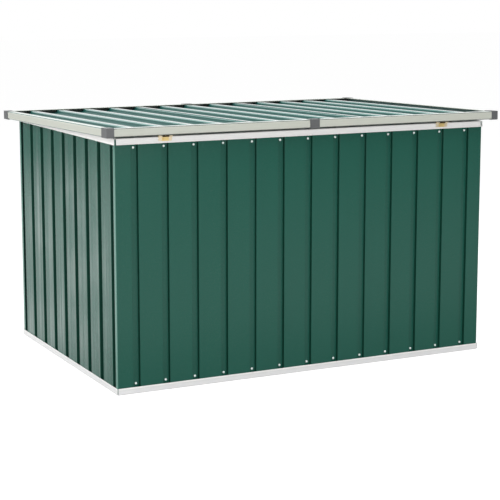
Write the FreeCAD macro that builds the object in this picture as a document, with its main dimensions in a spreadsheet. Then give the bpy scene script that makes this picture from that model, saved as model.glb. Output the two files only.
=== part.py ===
"""Garden storage box: grooved sheet-steel walls in white channel rails, under a sloping hinged lid.

Millimetres, +Z up. The origin is on the floor, below the middle of the lid. The hinged long side faces -Y
and the side that opens faces +Y.
"""

import FreeCAD
import Part

import math
import operator
import os
from types import SimpleNamespace

import Sketcher

# Driving dimensions, one row of the sheet each

SIZES = (
    ("body_length", 1407.0, "between the outer faces of the end walls"),
    ("body_depth", 960.0, "between the outer faces of the long walls"),
    ("wall_height", 837.0, "from the floor to the top of the top rails"),
    ("rail_wall", 2.0, "metal of the body's channel rails"),
    ("rail_play", 0.4, "room between a sheet and a rail's outer lip"),
    ("base_lip", 22.0, "height of a base rail's outer lip"),
    ("base_leg", 42.0, "height of a base rail's inner leg"),
    ("top_lip", 21.0, "height of a top rail's outer lip"),
    ("top_leg", 44.0, "height of a top rail's inner leg"),
    ("sheet_gauge", 0.8, "thickness of the painted sheet"),
    ("groove_depth", 11.0, "depth of a wall groove and height of a lid rib"),
    ("groove_floor", 22.0, "flat width of a groove or rib"),
    ("flank_run", 1.5, "width of a groove's flank, seen square on"),
    ("end_pan", 55.0, "flat sheet from a corner to the first groove of a long wall"),
    ("corner_return", 14.0, "strip of a long wall's sheet that is folded round the corner"),
    ("lap_play", 0.4, "room at the edge of a strip that lies in a lap"),
    ("tuck_play", 2.0, "room between an end sheet's edge and the long wall"),
    ("sheet_top_play", 1.0, "room above a wall sheet in the top rail"),
    ("post_leg", 40.0, "width of a corner post's leg"),
    ("post_wall", 1.5, "metal of a corner post"),
    ("post_drop", 3.0, "top of a corner post below the top of the rails"),
    ("screw_head_radius", 4.5, "head of a wall screw"),
    ("screw_head_height", 2.6, "head of a wall screw"),
    ("screw_shank_radius", 2.0, "shank of a wall screw"),
    ("screw_length", 12.0, "shank of a wall screw below its head"),
    ("screw_hole_play", 0.15, "room round a screw's shank in its hole"),
    ("screw_above_base", 9.0, "lower screws above the base rail's lip"),
    ("screw_below_top", 11.0, "upper screws below the top rail's lip"),
    ("hinge_overhang", 40.0, "lid beyond the hinged wall"),
    ("opening_overhang", 55.0, "lid beyond the opening wall"),
    ("end_overhang", 41.5, "lid beyond each end wall"),
    ("hinge_gap", 6.5, "from the top rail up to the lid rail at the hinges"),
    ("rest_play", 0.3, "room where the closed lid rests on the opening wall"),
    ("lid_rail_height", 28.5, "height of a lid rail"),
    ("lid_rail_wall", 1.5, "metal of a lid rail"),
    ("lid_flange", 24.0, "width of a lid rail's flanges"),
    ("lid_shelf", 12.0, "width of the shelf that carries the lid sheets"),
    ("rib_play", 0.5, "room between a lapped rib and the lid rail's top flange"),
    ("sheet_end_play", 1.0, "room at the ends and sides of the lid sheets"),
    ("cap_wall", 1.5, "wall of the plastic corner caps and joiners"),
    ("cap_long_leg", 26.0, "corner cap along a long rail"),
    ("cap_side_leg", 45.0, "corner cap along a side rail"),
    ("key_play", 0.4, "room round a plastic key inside a lid rail"),
    ("key_reach", 30.0, "length of a key inside a long rail"),
    ("key_width", 14.0, "width of a key across its rail"),
    ("joiner_length", 36.0, "sleeve of a joiner at the middle of a long rail"),
    ("joiner_rib", 3.0, "web of a joiner between the two halves of a rail"),
    ("barrel_radius", 4.0, "hinge barrel"),
    ("pin_radius", 2.0, "hinge pin"),
    ("pin_play", 0.05, "running clearance of the hinge pin"),
    ("pin_head_radius", 2.8, "head of a hinge pin"),
    ("pin_head_height", 1.0, "head of a hinge pin"),
    ("hinge_length", 48.0, "hinge along its pin"),
    ("middle_knuckle", 24.0, "length of the lid leaf's knuckle"),
    ("knuckle_play", 0.3, "room at each end of the lid leaf's knuckle, and round it in the leaves"),
    ("leaf_gauge", 1.5, "thickness of a hinge leaf"),
    ("body_leaf_drop", 17.0, "body leaf below the pin's axis"),
    ("lid_leaf_reach", 27.0, "lid leaf from the pin's axis"),
    ("leaf_corner", 4.0, "corner cut off a leaf's outer edge"),
    ("leaf_screw_spacing", 14.0, "between the two screws of a leaf"),
    ("body_leaf_screw_drop", 11.0, "body leaf's screws below the pin's axis"),
    ("lid_leaf_screw_reach", 18.0, "lid leaf's screws from the pin's axis"),
    ("leaf_screw_head_radius", 2.6, "head of a hinge screw"),
    ("leaf_screw_head_height", 1.0, "head of a hinge screw"),
    ("leaf_screw_shank_radius", 1.5, "shank of a hinge screw"),
    ("leaf_screw_length", 7.0, "shank of a hinge screw below its head"),
)

# Counts: every sheet of a wall or of the lid spans the same number of groove pitches

PITCHES_PER_SHEET = 4
LONG_SHEETS = ("left", "middle", "right")
END_SHEETS = ("hinge_end", "opening_end")

OPERATIONS = {"+": operator.add, "-": operator.sub, "*": operator.mul, "/": operator.truediv}
PLANE_ACROSS = {"X": "YZ_Plane", "Y": "XZ_Plane", "Z": "XY_Plane"}


class Term:
    """A number worked out from the sheet: the expression that ties it, and its value now."""

    def __init__(self, text, value):
        self.text = text
        self.value = value

    def __add__(self, other):
        return joined(self, "+", other)

    def __sub__(self, other):
        return joined(self, "-", other)

    def __mul__(self, other):
        return joined(self, "*", other)

    def __rmul__(self, other):
        return joined(other, "*", self)

    def __truediv__(self, other):
        return joined(self, "/", other)

    def __neg__(self):
        return joined(-1, "*", self)


def as_term(number):
    """A Term for a plain number, or the Term itself."""
    if isinstance(number, Term):
        return number
    return Term(f"({number})", float(number))


def joined(left, sign, right):
    """Two Terms joined by an arithmetic sign."""
    first = as_term(left)
    second = as_term(right)
    return Term(f"({first.text} {sign} {second.text})", OPERATIONS[sign](first.value, second.value))


def make_sheet(document):
    """Writes the driving dimensions to a spreadsheet and returns each as a Term."""
    sheet = document.addObject("Spreadsheet::Sheet", "Sizes")
    terms = {}
    for row, (name, value, meaning) in enumerate(SIZES, start=1):
        sheet.set(f"A{row}", str(value))
        sheet.setAlias(f"A{row}", name)
        sheet.set(f"B{row}", meaning)
        terms[name] = Term(f"Sizes.{name}", value)
    document.recompute()
    return SimpleNamespace(**terms)


doc = FreeCAD.newDocument("GardenStorageBox")
s = make_sheet(doc)
nodes = []
ZERO = as_term(0)

# Places worked out from the driving dimensions

channel_depth = s.groove_depth + s.sheet_gauge
rail_face = s.rail_play + s.rail_wall
groove_mouth = s.groove_floor + 2 * s.flank_run
hinge_wall_y = (s.hinge_overhang - s.opening_overhang - s.body_depth) / 2
opening_wall_y = hinge_wall_y + s.body_depth
body_right_x = s.body_length / 2
body_left_x = -body_right_x
hole_radius = s.screw_shank_radius + s.screw_hole_play
low_screw_z = s.base_lip + s.screw_above_base
high_screw_z = s.wall_height - s.top_lip - s.screw_below_top

long_gaps = PITCHES_PER_SHEET * len(LONG_SHEETS)
long_pitch = (s.body_length - 2 * s.end_pan - groove_mouth) / long_gaps
long_stations = [body_left_x + s.end_pan + groove_mouth / 2 + long_pitch * i for i in range(long_gaps + 1)]
end_gaps = PITCHES_PER_SHEET * len(END_SHEETS)
end_pitch = (s.body_depth - 2 * s.corner_return - groove_mouth) / end_gaps
end_stations = [
    hinge_wall_y + s.corner_return + groove_mouth / 2 + end_pitch * i for i in range(end_gaps + 1)
]

# Hinge axis, and the lid measured from it: X along the axis, Y towards the opening side, Z up from the lid

axis_y = hinge_wall_y - rail_face - s.barrel_radius
axis_z = s.wall_height + s.hinge_gap - s.barrel_radius
lid_half = body_right_x + s.end_overhang
lid_front = rail_face + s.barrel_radius - s.hinge_overhang
lid_back = lid_front + s.hinge_overhang + s.body_depth + s.opening_overhang
lid_under = s.barrel_radius
lid_top = lid_under + s.lid_rail_height
lid_seat = lid_top - s.lid_rail_wall - s.rib_play - s.groove_depth - 2 * s.sheet_gauge
side_rail_inner = lid_half - s.cap_wall - s.lid_flange
hinge_x = long_stations[-2]

# The closed lid slopes until its sheets rest on the opening wall's top rail

rest_reach = opening_wall_y + rail_face - axis_y
rest_rise = s.hinge_gap - s.barrel_radius - s.rest_play
rest_span = Term(
    f"sqrt({rest_reach.text} ^ 2 + {lid_seat.text} ^ 2)", math.hypot(rest_reach.value, lid_seat.value)
)
lid_slope = Term(
    f"asin({rest_rise.text} / {rest_span.text}) + atan({lid_seat.text} / {rest_reach.text})",
    math.degrees(math.asin(rest_rise.value / rest_span.value) + math.atan(lid_seat.value / rest_reach.value)),
)


def slope_lid_piece(piece):
    """Turns a piece that is drawn from the hinge axis into the closed lid's place."""
    piece.Placement = FreeCAD.Placement(
        FreeCAD.Vector(0, axis_y.value, axis_z.value),
        FreeCAD.Rotation(FreeCAD.Vector(-1, 0, 0), lid_slope.value),
    )
    piece.setExpression("Placement.Base.y", axis_y.text)
    piece.setExpression("Placement.Base.z", axis_z.text)
    piece.setExpression("Placement.Rotation.Angle", lid_slope.text)


def new_body(label, on_lid=False):
    """An empty body that becomes the node of the same name."""
    body = doc.addObject("PartDesign::Body", label)
    body.Label = label
    if on_lid:
        slope_lid_piece(body)
    nodes.append(body)
    return body


def new_sketch(body, axis, station):
    """A sketch square to an axis, at a station along that axis."""
    sketch = body.newObject("Sketcher::SketchObject", "Outline")
    plane = PLANE_ACROSS[axis]
    support = next(f for f in body.Origin.OriginFeatures if f.Role == plane)
    sketch.AttachmentSupport = [(support, "")]
    sketch.MapMode = "FlatFace"
    offset = -station if axis == "Y" else station
    sketch.setExpression("AttachmentOffset.Base.z", offset.text)
    return sketch


def pin_points(sketch, places):
    """Ties sketch points, given as (geometry, end, across, up), to their places."""
    first = sketch.ConstraintCount
    constraints = []
    for geometry, end, across, up in places:
        constraints.append(Sketcher.Constraint("DistanceX", -1, 1, geometry, end, across.value))
        constraints.append(Sketcher.Constraint("DistanceY", -1, 1, geometry, end, up.value))
    sketch.addConstraint(constraints)
    for index, (_, _, across, up) in enumerate(places):
        sketch.setExpression(f"Constraints[{first + 2 * index}]", across.text)
        sketch.setExpression(f"Constraints[{first + 2 * index + 1}]", up.text)


def draw_polygon(sketch, points):
    """Draws a closed outline through points that are pairs of Terms."""
    first = sketch.GeometryCount
    count = len(points)
    corners = [FreeCAD.Vector(across.value, up.value, 0) for across, up in points]
    sketch.addGeometry([Part.LineSegment(corners[i], corners[(i + 1) % count]) for i in range(count)], False)
    sketch.addConstraint(
        [Sketcher.Constraint("Coincident", first + i, 2, first + (i + 1) % count, 1) for i in range(count)]
    )
    pin_points(sketch, [(first + i, 1, across, up) for i, (across, up) in enumerate(points)])


def draw_circle(sketch, across, up, radius):
    """Draws a circle at a place given as Terms."""
    middle = FreeCAD.Vector(across.value, up.value, 0)
    circle = sketch.addGeometry(Part.Circle(middle, FreeCAD.Vector(0, 0, 1), radius.value), False)
    pin_points(sketch, [(circle, 3, across, up)])
    constraint = sketch.addConstraint(Sketcher.Constraint("Radius", circle, radius.value))
    sketch.setExpression(f"Constraints[{constraint}]", radius.text)


def add_pad(body, axis, low, high, outline=(), circles=()):
    """Adds material between two stations of an axis: one outline, or circles as (across, up, radius)."""
    sketch = new_sketch(body, axis, high if axis == "Y" else low)
    if outline:
        draw_polygon(sketch, outline)
    for across, up, radius in circles:
        draw_circle(sketch, across, up, radius)
    pad = body.newObject("PartDesign::Pad", "Pad")
    pad.Profile = sketch
    pad.setExpression("Length", (high - low).text)


def add_cut(body, axis, low, high, outlines=(), circles=()):
    """Takes material away between two stations of an axis: outlines, or circles as (across, up, radius)."""
    sketch = new_sketch(body, axis, low if axis == "Y" else high)
    for outline in outlines:
        draw_polygon(sketch, outline)
    for across, up, radius in circles:
        draw_circle(sketch, across, up, radius)
    pocket = body.newObject("PartDesign::Pocket", "Pocket")
    pocket.Profile = sketch
    pocket.setExpression("Length", (high - low).text)


def box_outline(left, right, low, high):
    """The four corners of a rectangle."""
    return [(left, low), (right, low), (right, high), (left, high)]


# Sides of the body: the wall's outer plane, the way in from it, and the run from corner to corner

SIDES = (
    SimpleNamespace(name="hinge_side", run="X", across="Y", plane=hinge_wall_y, inward=1),
    SimpleNamespace(name="opening_side", run="X", across="Y", plane=opening_wall_y, inward=-1),
    SimpleNamespace(name="left", run="Y", across="X", plane=body_left_x, inward=1),
    SimpleNamespace(name="right", run="Y", across="X", plane=body_right_x, inward=-1),
)
RUNS = {"X": (body_left_x, body_right_x), "Y": (hinge_wall_y, opening_wall_y)}
STATIONS = {"X": long_stations, "Y": end_stations}


def at_depth(side, depth):
    """A place across a wall, at a depth below its outer plane."""
    return side.plane + side.inward * depth


def plan_point(side, along, depth):
    """A wall's point seen from above, as an (X, Y) pair."""
    across = at_depth(side, depth)
    return (along, across) if side.run == "X" else (across, along)


def depth_range(side, shallow, deep):
    """The lower and upper stations across a wall between two depths."""
    ends = (at_depth(side, shallow), at_depth(side, deep))
    return ends if side.inward > 0 else ends[::-1]


def is_lapped(index, stations):
    """Whether two sheets lap in this groove."""
    return index % PITCHES_PER_SHEET == 0 and 0 < index < len(stations) - 1


# Base and top rails: channels that hold the sheets, mitred at the corners


def channel_outline(side, edge_z, up, lip, leg):
    """A rail's section, from its closed edge at edge_z towards its open side."""
    inner = channel_depth + s.rail_wall
    section = (
        (-rail_face, ZERO),
        (inner, ZERO),
        (inner, leg),
        (channel_depth, leg),
        (channel_depth, s.rail_wall),
        (-s.rail_play, s.rail_wall),
        (-s.rail_play, lip),
        (-rail_face, lip),
    )
    return [(at_depth(side, depth), edge_z + up * height) for depth, height in section]


def mitre_corner(side, corner, outward):
    """The triangle that a 45 degree mitre takes off one end of a rail, seen from above."""
    inner = channel_depth + s.rail_wall
    tip = corner + outward * rail_face
    heel = corner - outward * inner
    return [
        plan_point(side, tip, -rail_face),
        plan_point(side, heel, inner),
        plan_point(side, tip, inner),
    ]


def make_rail(side, label, edge_z, up, lip, leg, screw_z):
    """One channel rail of the body, with its row of screw holes in the inner leg."""
    body = new_body(label)
    low, high = RUNS[side.run]
    add_pad(body, side.run, low - rail_face, high + rail_face, channel_outline(side, edge_z, up, lip, leg))
    corners = [mitre_corner(side, low, -1), mitre_corner(side, high, 1)]
    add_cut(body, "Z", ZERO, s.wall_height, outlines=corners)
    holes = [(along, screw_z, hole_radius) for along in STATIONS[side.run]]
    add_cut(body, side.across, *depth_range(side, channel_depth, channel_depth + s.rail_wall), circles=holes)
    return body


def make_body_rails():
    """The four base rails and the four top rails. The hinged top rail is drilled for the hinge leaves."""
    for side in SIDES:
        make_rail(side, f"base_rail_{side.name}", ZERO, 1, s.base_lip, s.base_leg, low_screw_z)
        rail = make_rail(
            side, f"top_rail_{side.name}", s.wall_height, -1, s.top_lip, s.top_leg, high_screw_z
        )
        if side.name == "hinge_side":
            holes = [(x, z, leaf_hole_radius) for x, z in body_leaf_screw_places()]
            add_cut(rail, side.across, *depth_range(side, -rail_face, ZERO), circles=holes)


# Grooved sheets: an outer line and an inner line one gauge deeper, joined at the ends


def groove_lines(station, turn):
    """A whole groove's outer and inner points. turn is 1 for a groove and -1 for a raised rib."""
    half_floor = s.groove_floor / 2
    half_mouth = groove_mouth / 2
    floor = turn * s.groove_depth
    edge = turn * s.sheet_gauge
    outer = [
        (station - half_mouth, ZERO),
        (station - half_floor, floor),
        (station + half_floor, floor),
        (station + half_mouth, ZERO),
    ]
    inner = [
        (station - half_mouth - edge, s.sheet_gauge),
        (station - half_floor - edge, floor + s.sheet_gauge),
        (station + half_floor + edge, floor + s.sheet_gauge),
        (station + half_mouth + edge, s.sheet_gauge),
    ]
    return outer, inner


def lap_start_lines(station, turn):
    """The strip that lies over the neighbouring sheet's last groove, and the flank up from it."""
    half_floor = s.groove_floor / 2
    half_mouth = groove_mouth / 2
    floor = turn * s.groove_depth
    edge = turn * s.sheet_gauge
    strip = station - half_floor + s.sheet_gauge + s.lap_play
    outer = [
        (strip, floor - s.sheet_gauge),
        (station + half_floor, floor - s.sheet_gauge),
        (station + half_mouth, ZERO),
    ]
    inner = [
        (strip, floor),
        (station + half_floor + edge, floor),
        (station + half_mouth + edge, s.sheet_gauge),
    ]
    return outer, inner


def lap_end_lines(station, turn):
    """The last groove of a sheet that the next sheet laps: it stops short of the far flank."""
    outer, inner = groove_lines(station, turn)
    strip = station + s.groove_floor / 2 - s.sheet_gauge - s.lap_play
    floor = turn * s.groove_depth
    return outer[:2] + [(strip, floor)], inner[:2] + [(strip, floor + s.sheet_gauge)]


def sheet_outline(stations, part, parts, turn, first_end, last_end):
    """The closed section of one sheet of a row, as (along, depth) pairs.

    first_end and last_end give the outer and inner points that close the row's two ends. An end may take the
    place of the end groove's own points, and says so by its third item.
    """
    first = part * PITCHES_PER_SHEET
    last = first + PITCHES_PER_SHEET
    outer = []
    inner = []
    for index in range(first, last + 1):
        if index == first and part > 0:
            lines = lap_start_lines(stations[index], turn)
        elif index == last and part < parts - 1:
            lines = lap_end_lines(stations[index], turn)
        elif index == 0 and first_end[2]:
            lines = ([], [])
        elif index == len(stations) - 1 and last_end[2]:
            lines = ([], [])
        else:
            lines = groove_lines(stations[index], turn)
        if index == 0:
            lines = (first_end[0] + lines[0], first_end[1] + lines[1])
        if index == len(stations) - 1:
            lines = (lines[0] + last_end[0], lines[1] + last_end[1])
        outer += lines[0]
        inner += lines[1]
    return outer + inner[::-1]


def folded_ends():
    """Ends of a long wall: a strip folded round each corner of the body."""
    gauge = s.sheet_gauge
    first = (
        [(body_left_x, s.corner_return), (body_left_x, ZERO)],
        [(body_left_x + gauge, s.corner_return), (body_left_x + gauge, gauge)],
        False,
    )
    last = (
        [(body_right_x, ZERO), (body_right_x, s.corner_return)],
        [(body_right_x - gauge, gauge), (body_right_x - gauge, s.corner_return)],
        False,
    )
    return first, last


def tucked_ends():
    """Ends of an end wall: the groove's floor runs on behind the long wall's folded strip."""
    outer, inner = groove_lines(end_stations[0], 1)
    start = hinge_wall_y + s.tuck_play
    first = ([(start, s.groove_depth)] + outer[2:], [(start, channel_depth)] + inner[2:], True)
    outer, inner = groove_lines(end_stations[-1], 1)
    stop = opening_wall_y - s.tuck_play
    last = (outer[:2] + [(stop, s.groove_depth)], inner[:2] + [(stop, channel_depth)], True)
    return first, last


def make_wall_sheets(side, names, ends):
    """The lapped sheets of one wall, with a screw hole at the top and bottom of every groove."""
    stations = STATIONS[side.run]
    sheet_top = s.wall_height - s.rail_wall - s.sheet_top_play
    for part, name in enumerate(names):
        body = new_body(f"{side.name}_sheet_{name}")
        section = sheet_outline(stations, part, len(names), 1, *ends)
        outline = [plan_point(side, along, depth) for along, depth in section]
        add_pad(body, "Z", s.rail_wall, sheet_top, outline)
        first = part * PITCHES_PER_SHEET
        held = stations[first : first + PITCHES_PER_SHEET + 1]
        holes = [(along, z, hole_radius) for along in held for z in (low_screw_z, high_screw_z)]
        add_cut(body, side.across, *depth_range(side, ZERO, channel_depth), circles=holes)


# Corner posts: folded angles that tie the base rails to the top rails


def make_corner_post(long_side, end_side):
    """An angle in one corner, held by the end wall's first screws."""
    body = new_body(f"corner_post_{long_side.name.split('_')[0]}_{end_side.name}")
    near = channel_depth + s.rail_wall
    wall = near + s.post_wall
    far = near + s.post_leg
    depths = ((near, near), (far, near), (far, wall), (wall, wall), (wall, far), (near, far))
    outline = [(at_depth(end_side, x), at_depth(long_side, y)) for x, y in depths]
    add_pad(body, "Z", ZERO, s.wall_height - s.post_drop, outline)
    along = end_stations[0] if long_side.inward > 0 else end_stations[-1]
    holes = [(along, z, hole_radius) for z in (low_screw_z, high_screw_z)]
    add_cut(body, "X", *depth_range(end_side, near, wall), circles=holes)


# Screws: each group is one node of separate solids


def screw_solid(head_radius, head_height, shank_radius, length):
    """A domed screw about Z, its seat at the origin and its head upwards."""
    rim = FreeCAD.Vector(head_radius, 0, 0)
    shoulder = FreeCAD.Vector(head_radius * 0.8, 0, head_height * 0.65)
    crown = FreeCAD.Vector(head_radius * 0.4, 0, head_height)
    crown_middle = FreeCAD.Vector(0, 0, head_height)
    tip_middle = FreeCAD.Vector(0, 0, -length)
    tip = FreeCAD.Vector(shank_radius * 0.3, 0, -length)
    point_root = FreeCAD.Vector(shank_radius, 0, -length + 2 * shank_radius)
    neck = FreeCAD.Vector(shank_radius, 0, 0)
    edges = [Part.Arc(rim, shoulder, crown).toShape()]
    corners = [crown, crown_middle, tip_middle, tip, point_root, neck, rim]
    edges += [Part.makeLine(a, b) for a, b in zip(corners, corners[1:])]
    profile = Part.Face(Part.Wire(edges))
    return profile.revolve(FreeCAD.Vector(0, 0, 0), FreeCAD.Vector(0, 0, 1), 360)


def make_screw_group(label, screw, outward, places, on_lid=False):
    """A node of equal screws whose heads face outward, at places given as (X, Y, Z) numbers."""
    turn = FreeCAD.Rotation(FreeCAD.Vector(0, 0, 1), FreeCAD.Vector(*outward))
    solids = []
    for place in places:
        solid = screw.copy()
        solid.Placement = FreeCAD.Placement(FreeCAD.Vector(*place), turn)
        solids.append(solid)
    group = doc.addObject("Part::Feature", label)
    group.Label = label
    group.Shape = Part.makeCompound(solids)
    if on_lid:
        slope_lid_piece(group)
    nodes.append(group)


def make_wall_screws(side):
    """The screws of one wall: top and bottom of every groove, on the outermost sheet there."""
    screw = screw_solid(
        s.screw_head_radius.value, s.screw_head_height.value, s.screw_shank_radius.value, s.screw_length.value
    )
    outward = (0, -side.inward, 0) if side.run == "X" else (-side.inward, 0, 0)
    stations = STATIONS[side.run]
    places = []
    for index, along in enumerate(stations):
        seat = s.groove_depth - s.sheet_gauge if is_lapped(index, stations) else s.groove_depth
        x, y = plan_point(side, along, seat)
        places += [(x.value, y.value, z.value) for z in (low_screw_z, high_screw_z)]
    make_screw_group(f"wall_screws_{side.name}", screw, outward, places)


# Hinges: a body leaf on the top rail, a lid leaf under the lid rail and a pin through their knuckles

leaf_hole_radius = s.leaf_screw_shank_radius + s.screw_hole_play
leaf_back_y = hinge_wall_y - rail_face
bore_radius = s.pin_radius + s.pin_play
hinge_half = s.hinge_length / 2
lid_knuckle_half = s.middle_knuckle / 2
body_knuckle_start = lid_knuckle_half + s.knuckle_play
leaf_clear = s.barrel_radius + s.knuckle_play
HINGES = (("left", -hinge_x), ("right", hinge_x))


def leaf_screw_row(middle):
    """The X places of the two screws of a leaf."""
    return [middle - s.leaf_screw_spacing / 2, middle + s.leaf_screw_spacing / 2]


def body_leaf_screw_places():
    """The (X, Z) places of the body leaves' screws."""
    z = axis_z - s.body_leaf_screw_drop
    return [(x, z) for _, middle in HINGES for x in leaf_screw_row(middle)]


def lid_leaf_screw_places():
    """The (X, Y) places of the lid leaves' screws, from the hinge axis."""
    return [(x, -s.lid_leaf_screw_reach) for _, middle in HINGES for x in leaf_screw_row(middle)]


def make_body_leaf(name, middle):
    """The leaf on the body, with the two end knuckles."""
    body = new_body(f"hinge_body_leaf_{name}")
    low = axis_z - s.body_leaf_drop
    notch = axis_z - leaf_clear
    half_plate = (
        (body_knuckle_start, notch),
        (body_knuckle_start, axis_z),
        (hinge_half, axis_z),
        (hinge_half, low + s.leaf_corner),
        (hinge_half - s.leaf_corner, low),
    )
    outline = [(middle + x, z) for x, z in half_plate]
    outline += [(middle - x, z) for x, z in reversed(half_plate)]
    add_pad(body, "Y", leaf_back_y - s.leaf_gauge, leaf_back_y, outline)
    ring = ((axis_y, axis_z, s.barrel_radius), (axis_y, axis_z, bore_radius))
    add_pad(body, "X", middle - hinge_half, middle - body_knuckle_start, circles=ring)
    add_pad(body, "X", middle + body_knuckle_start, middle + hinge_half, circles=ring)
    z = axis_z - s.body_leaf_screw_drop
    holes = [(x, z, leaf_hole_radius) for x in leaf_screw_row(middle)]
    add_cut(body, "Y", leaf_back_y - s.leaf_gauge, leaf_back_y, circles=holes)


def make_lid_leaf(name, middle):
    """The leaf under the lid's hinge rail, with the middle knuckle."""
    body = new_body(f"hinge_lid_leaf_{name}", on_lid=True)
    under = lid_under - s.leaf_gauge
    half_plate = (
        (lid_knuckle_half, ZERO),
        (lid_knuckle_half, -leaf_clear),
        (hinge_half, -leaf_clear),
        (hinge_half, s.leaf_corner - s.lid_leaf_reach),
        (hinge_half - s.leaf_corner, -s.lid_leaf_reach),
    )
    outline = [(middle + x, y) for x, y in half_plate]
    outline += [(middle - x, y) for x, y in reversed(half_plate)]
    add_pad(body, "Z", under, lid_under, outline)
    ring = ((ZERO, ZERO, s.barrel_radius), (ZERO, ZERO, bore_radius))
    add_pad(body, "X", middle - lid_knuckle_half, middle + lid_knuckle_half, circles=ring)
    holes = [(x, -s.lid_leaf_screw_reach, leaf_hole_radius) for x in leaf_screw_row(middle)]
    add_cut(body, "Z", under, lid_under, circles=holes)


def make_hinge_pin(name, middle):
    """The pin of one hinge, headed at both ends. It stays in the body's knuckles."""
    body = new_body(f"hinge_pin_{name}")
    left = middle - hinge_half
    right = middle + hinge_half
    head = ((axis_y, axis_z, s.pin_head_radius),)
    add_pad(body, "X", left, right, circles=((axis_y, axis_z, s.pin_radius),))
    add_pad(body, "X", left - s.pin_head_height, left, circles=head)
    add_pad(body, "X", right, right + s.pin_head_height, circles=head)


def make_hinge_screws():
    """The hinge screws, in one group for the body leaves and one for the lid leaves."""
    screw = screw_solid(
        s.leaf_screw_head_radius.value,
        s.leaf_screw_head_height.value,
        s.leaf_screw_shank_radius.value,
        s.leaf_screw_length.value,
    )
    face = (leaf_back_y - s.leaf_gauge).value
    places = [(x.value, face, z.value) for x, z in body_leaf_screw_places()]
    make_screw_group("hinge_screws_body", screw, (0, -1, 0), places)
    under = (lid_under - s.leaf_gauge).value
    places = [(x.value, y.value, under) for x, y in lid_leaf_screw_places()]
    make_screw_group("hinge_screws_lid", screw, (0, 0, -1), places, on_lid=True)


# Lid: a frame of shelved channels with plastic corners, holding ribbed sheets


def lid_rail_outline(face, inward):
    """A lid rail's section: web, two flanges and the shelf that carries the sheets."""
    wall = s.lid_rail_wall
    section = (
        (ZERO, lid_under),
        (s.lid_flange, lid_under),
        (s.lid_flange, lid_under + wall),
        (wall, lid_under + wall),
        (wall, lid_seat - wall),
        (s.lid_shelf, lid_seat - wall),
        (s.lid_shelf, lid_seat),
        (wall, lid_seat),
        (wall, lid_top - wall),
        (s.lid_flange, lid_top - wall),
        (s.lid_flange, lid_top),
        (ZERO, lid_top),
    )
    return [(face + inward * depth, height) for depth, height in section]


LID_LONG_SIDES = (
    SimpleNamespace(name="hinge", edge=lid_front, inward=1),
    SimpleNamespace(name="opening", edge=lid_back, inward=-1),
)
LID_ENDS = (SimpleNamespace(name="left", sign=-1), SimpleNamespace(name="right", sign=1))


def ordered(first, second):
    """Two Terms with the smaller one first."""
    return (first, second) if first.value < second.value else (second, first)


def make_lid_rails():
    """Two half rails on each long side, and one rail on each end."""
    half_gap = s.joiner_rib / 2 + s.key_play
    for side in LID_LONG_SIDES:
        outline = lid_rail_outline(side.edge + side.inward * s.cap_wall, side.inward)
        for end in LID_ENDS:
            body = new_body(f"lid_rail_{side.name}_{end.name}", on_lid=True)
            add_pad(body, "X", *ordered(end.sign * half_gap, end.sign * side_rail_inner), outline)
            inside = [place for place in lid_leaf_screw_places() if place[0].value * end.sign > 0]
            if side.name == "hinge":
                holes = [(x, y, leaf_hole_radius) for x, y in inside]
                add_cut(body, "Z", lid_under, lid_under + s.lid_rail_wall, circles=holes)
    for end in LID_ENDS:
        body = new_body(f"lid_rail_{end.name}", on_lid=True)
        outline = lid_rail_outline(end.sign * (lid_half - s.cap_wall), -end.sign)
        add_pad(body, "Y", lid_front + s.cap_wall, lid_back - s.cap_wall, outline)


key_low = lid_under + s.lid_rail_wall + s.key_play
key_high = lid_seat - s.lid_rail_wall - s.key_play


def make_corner_cap(side, end):
    """A plastic corner: a sleeve over the side rail's end, and a key inside both rails."""
    body = new_body(f"lid_corner_cap_{side.name}_{end.name}", on_lid=True)
    face_x = end.sign * lid_half
    sleeve_x = ordered(face_x, end.sign * (lid_half - s.cap_long_leg))
    sleeve_y = ordered(side.edge, side.edge + side.inward * s.cap_side_leg)
    plate_y = ordered(side.edge, side.edge + side.inward * s.cap_wall)
    plate_x = ordered(face_x, end.sign * (lid_half - s.cap_wall))
    low = lid_under - s.cap_wall
    high = lid_top + s.cap_wall
    add_pad(body, "Z", low, high, box_outline(*sleeve_x, *plate_y))
    add_pad(body, "Z", low, high, box_outline(*plate_x, *sleeve_y))
    add_pad(body, "Z", low, lid_under, box_outline(*sleeve_x, *sleeve_y))
    add_pad(body, "Z", lid_top, high, box_outline(*sleeve_x, *sleeve_y))
    root = s.cap_wall + s.lid_rail_wall + s.key_play
    key_x = end.sign * (lid_half - root)
    side_key_x = ordered(key_x, end.sign * (lid_half - root - s.key_width))
    side_key_y = ordered(side.edge + side.inward * s.cap_wall, side.edge + side.inward * s.cap_side_leg)
    add_pad(body, "Z", key_low, key_high, box_outline(*side_key_x, *side_key_y))
    long_key_x = ordered(key_x, end.sign * (side_rail_inner - s.key_reach))
    key_y = side.edge + side.inward * root
    long_key_y = ordered(key_y, key_y + side.inward * s.key_width)
    add_pad(body, "Z", key_low, key_high, box_outline(*long_key_x, *long_key_y))


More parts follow.
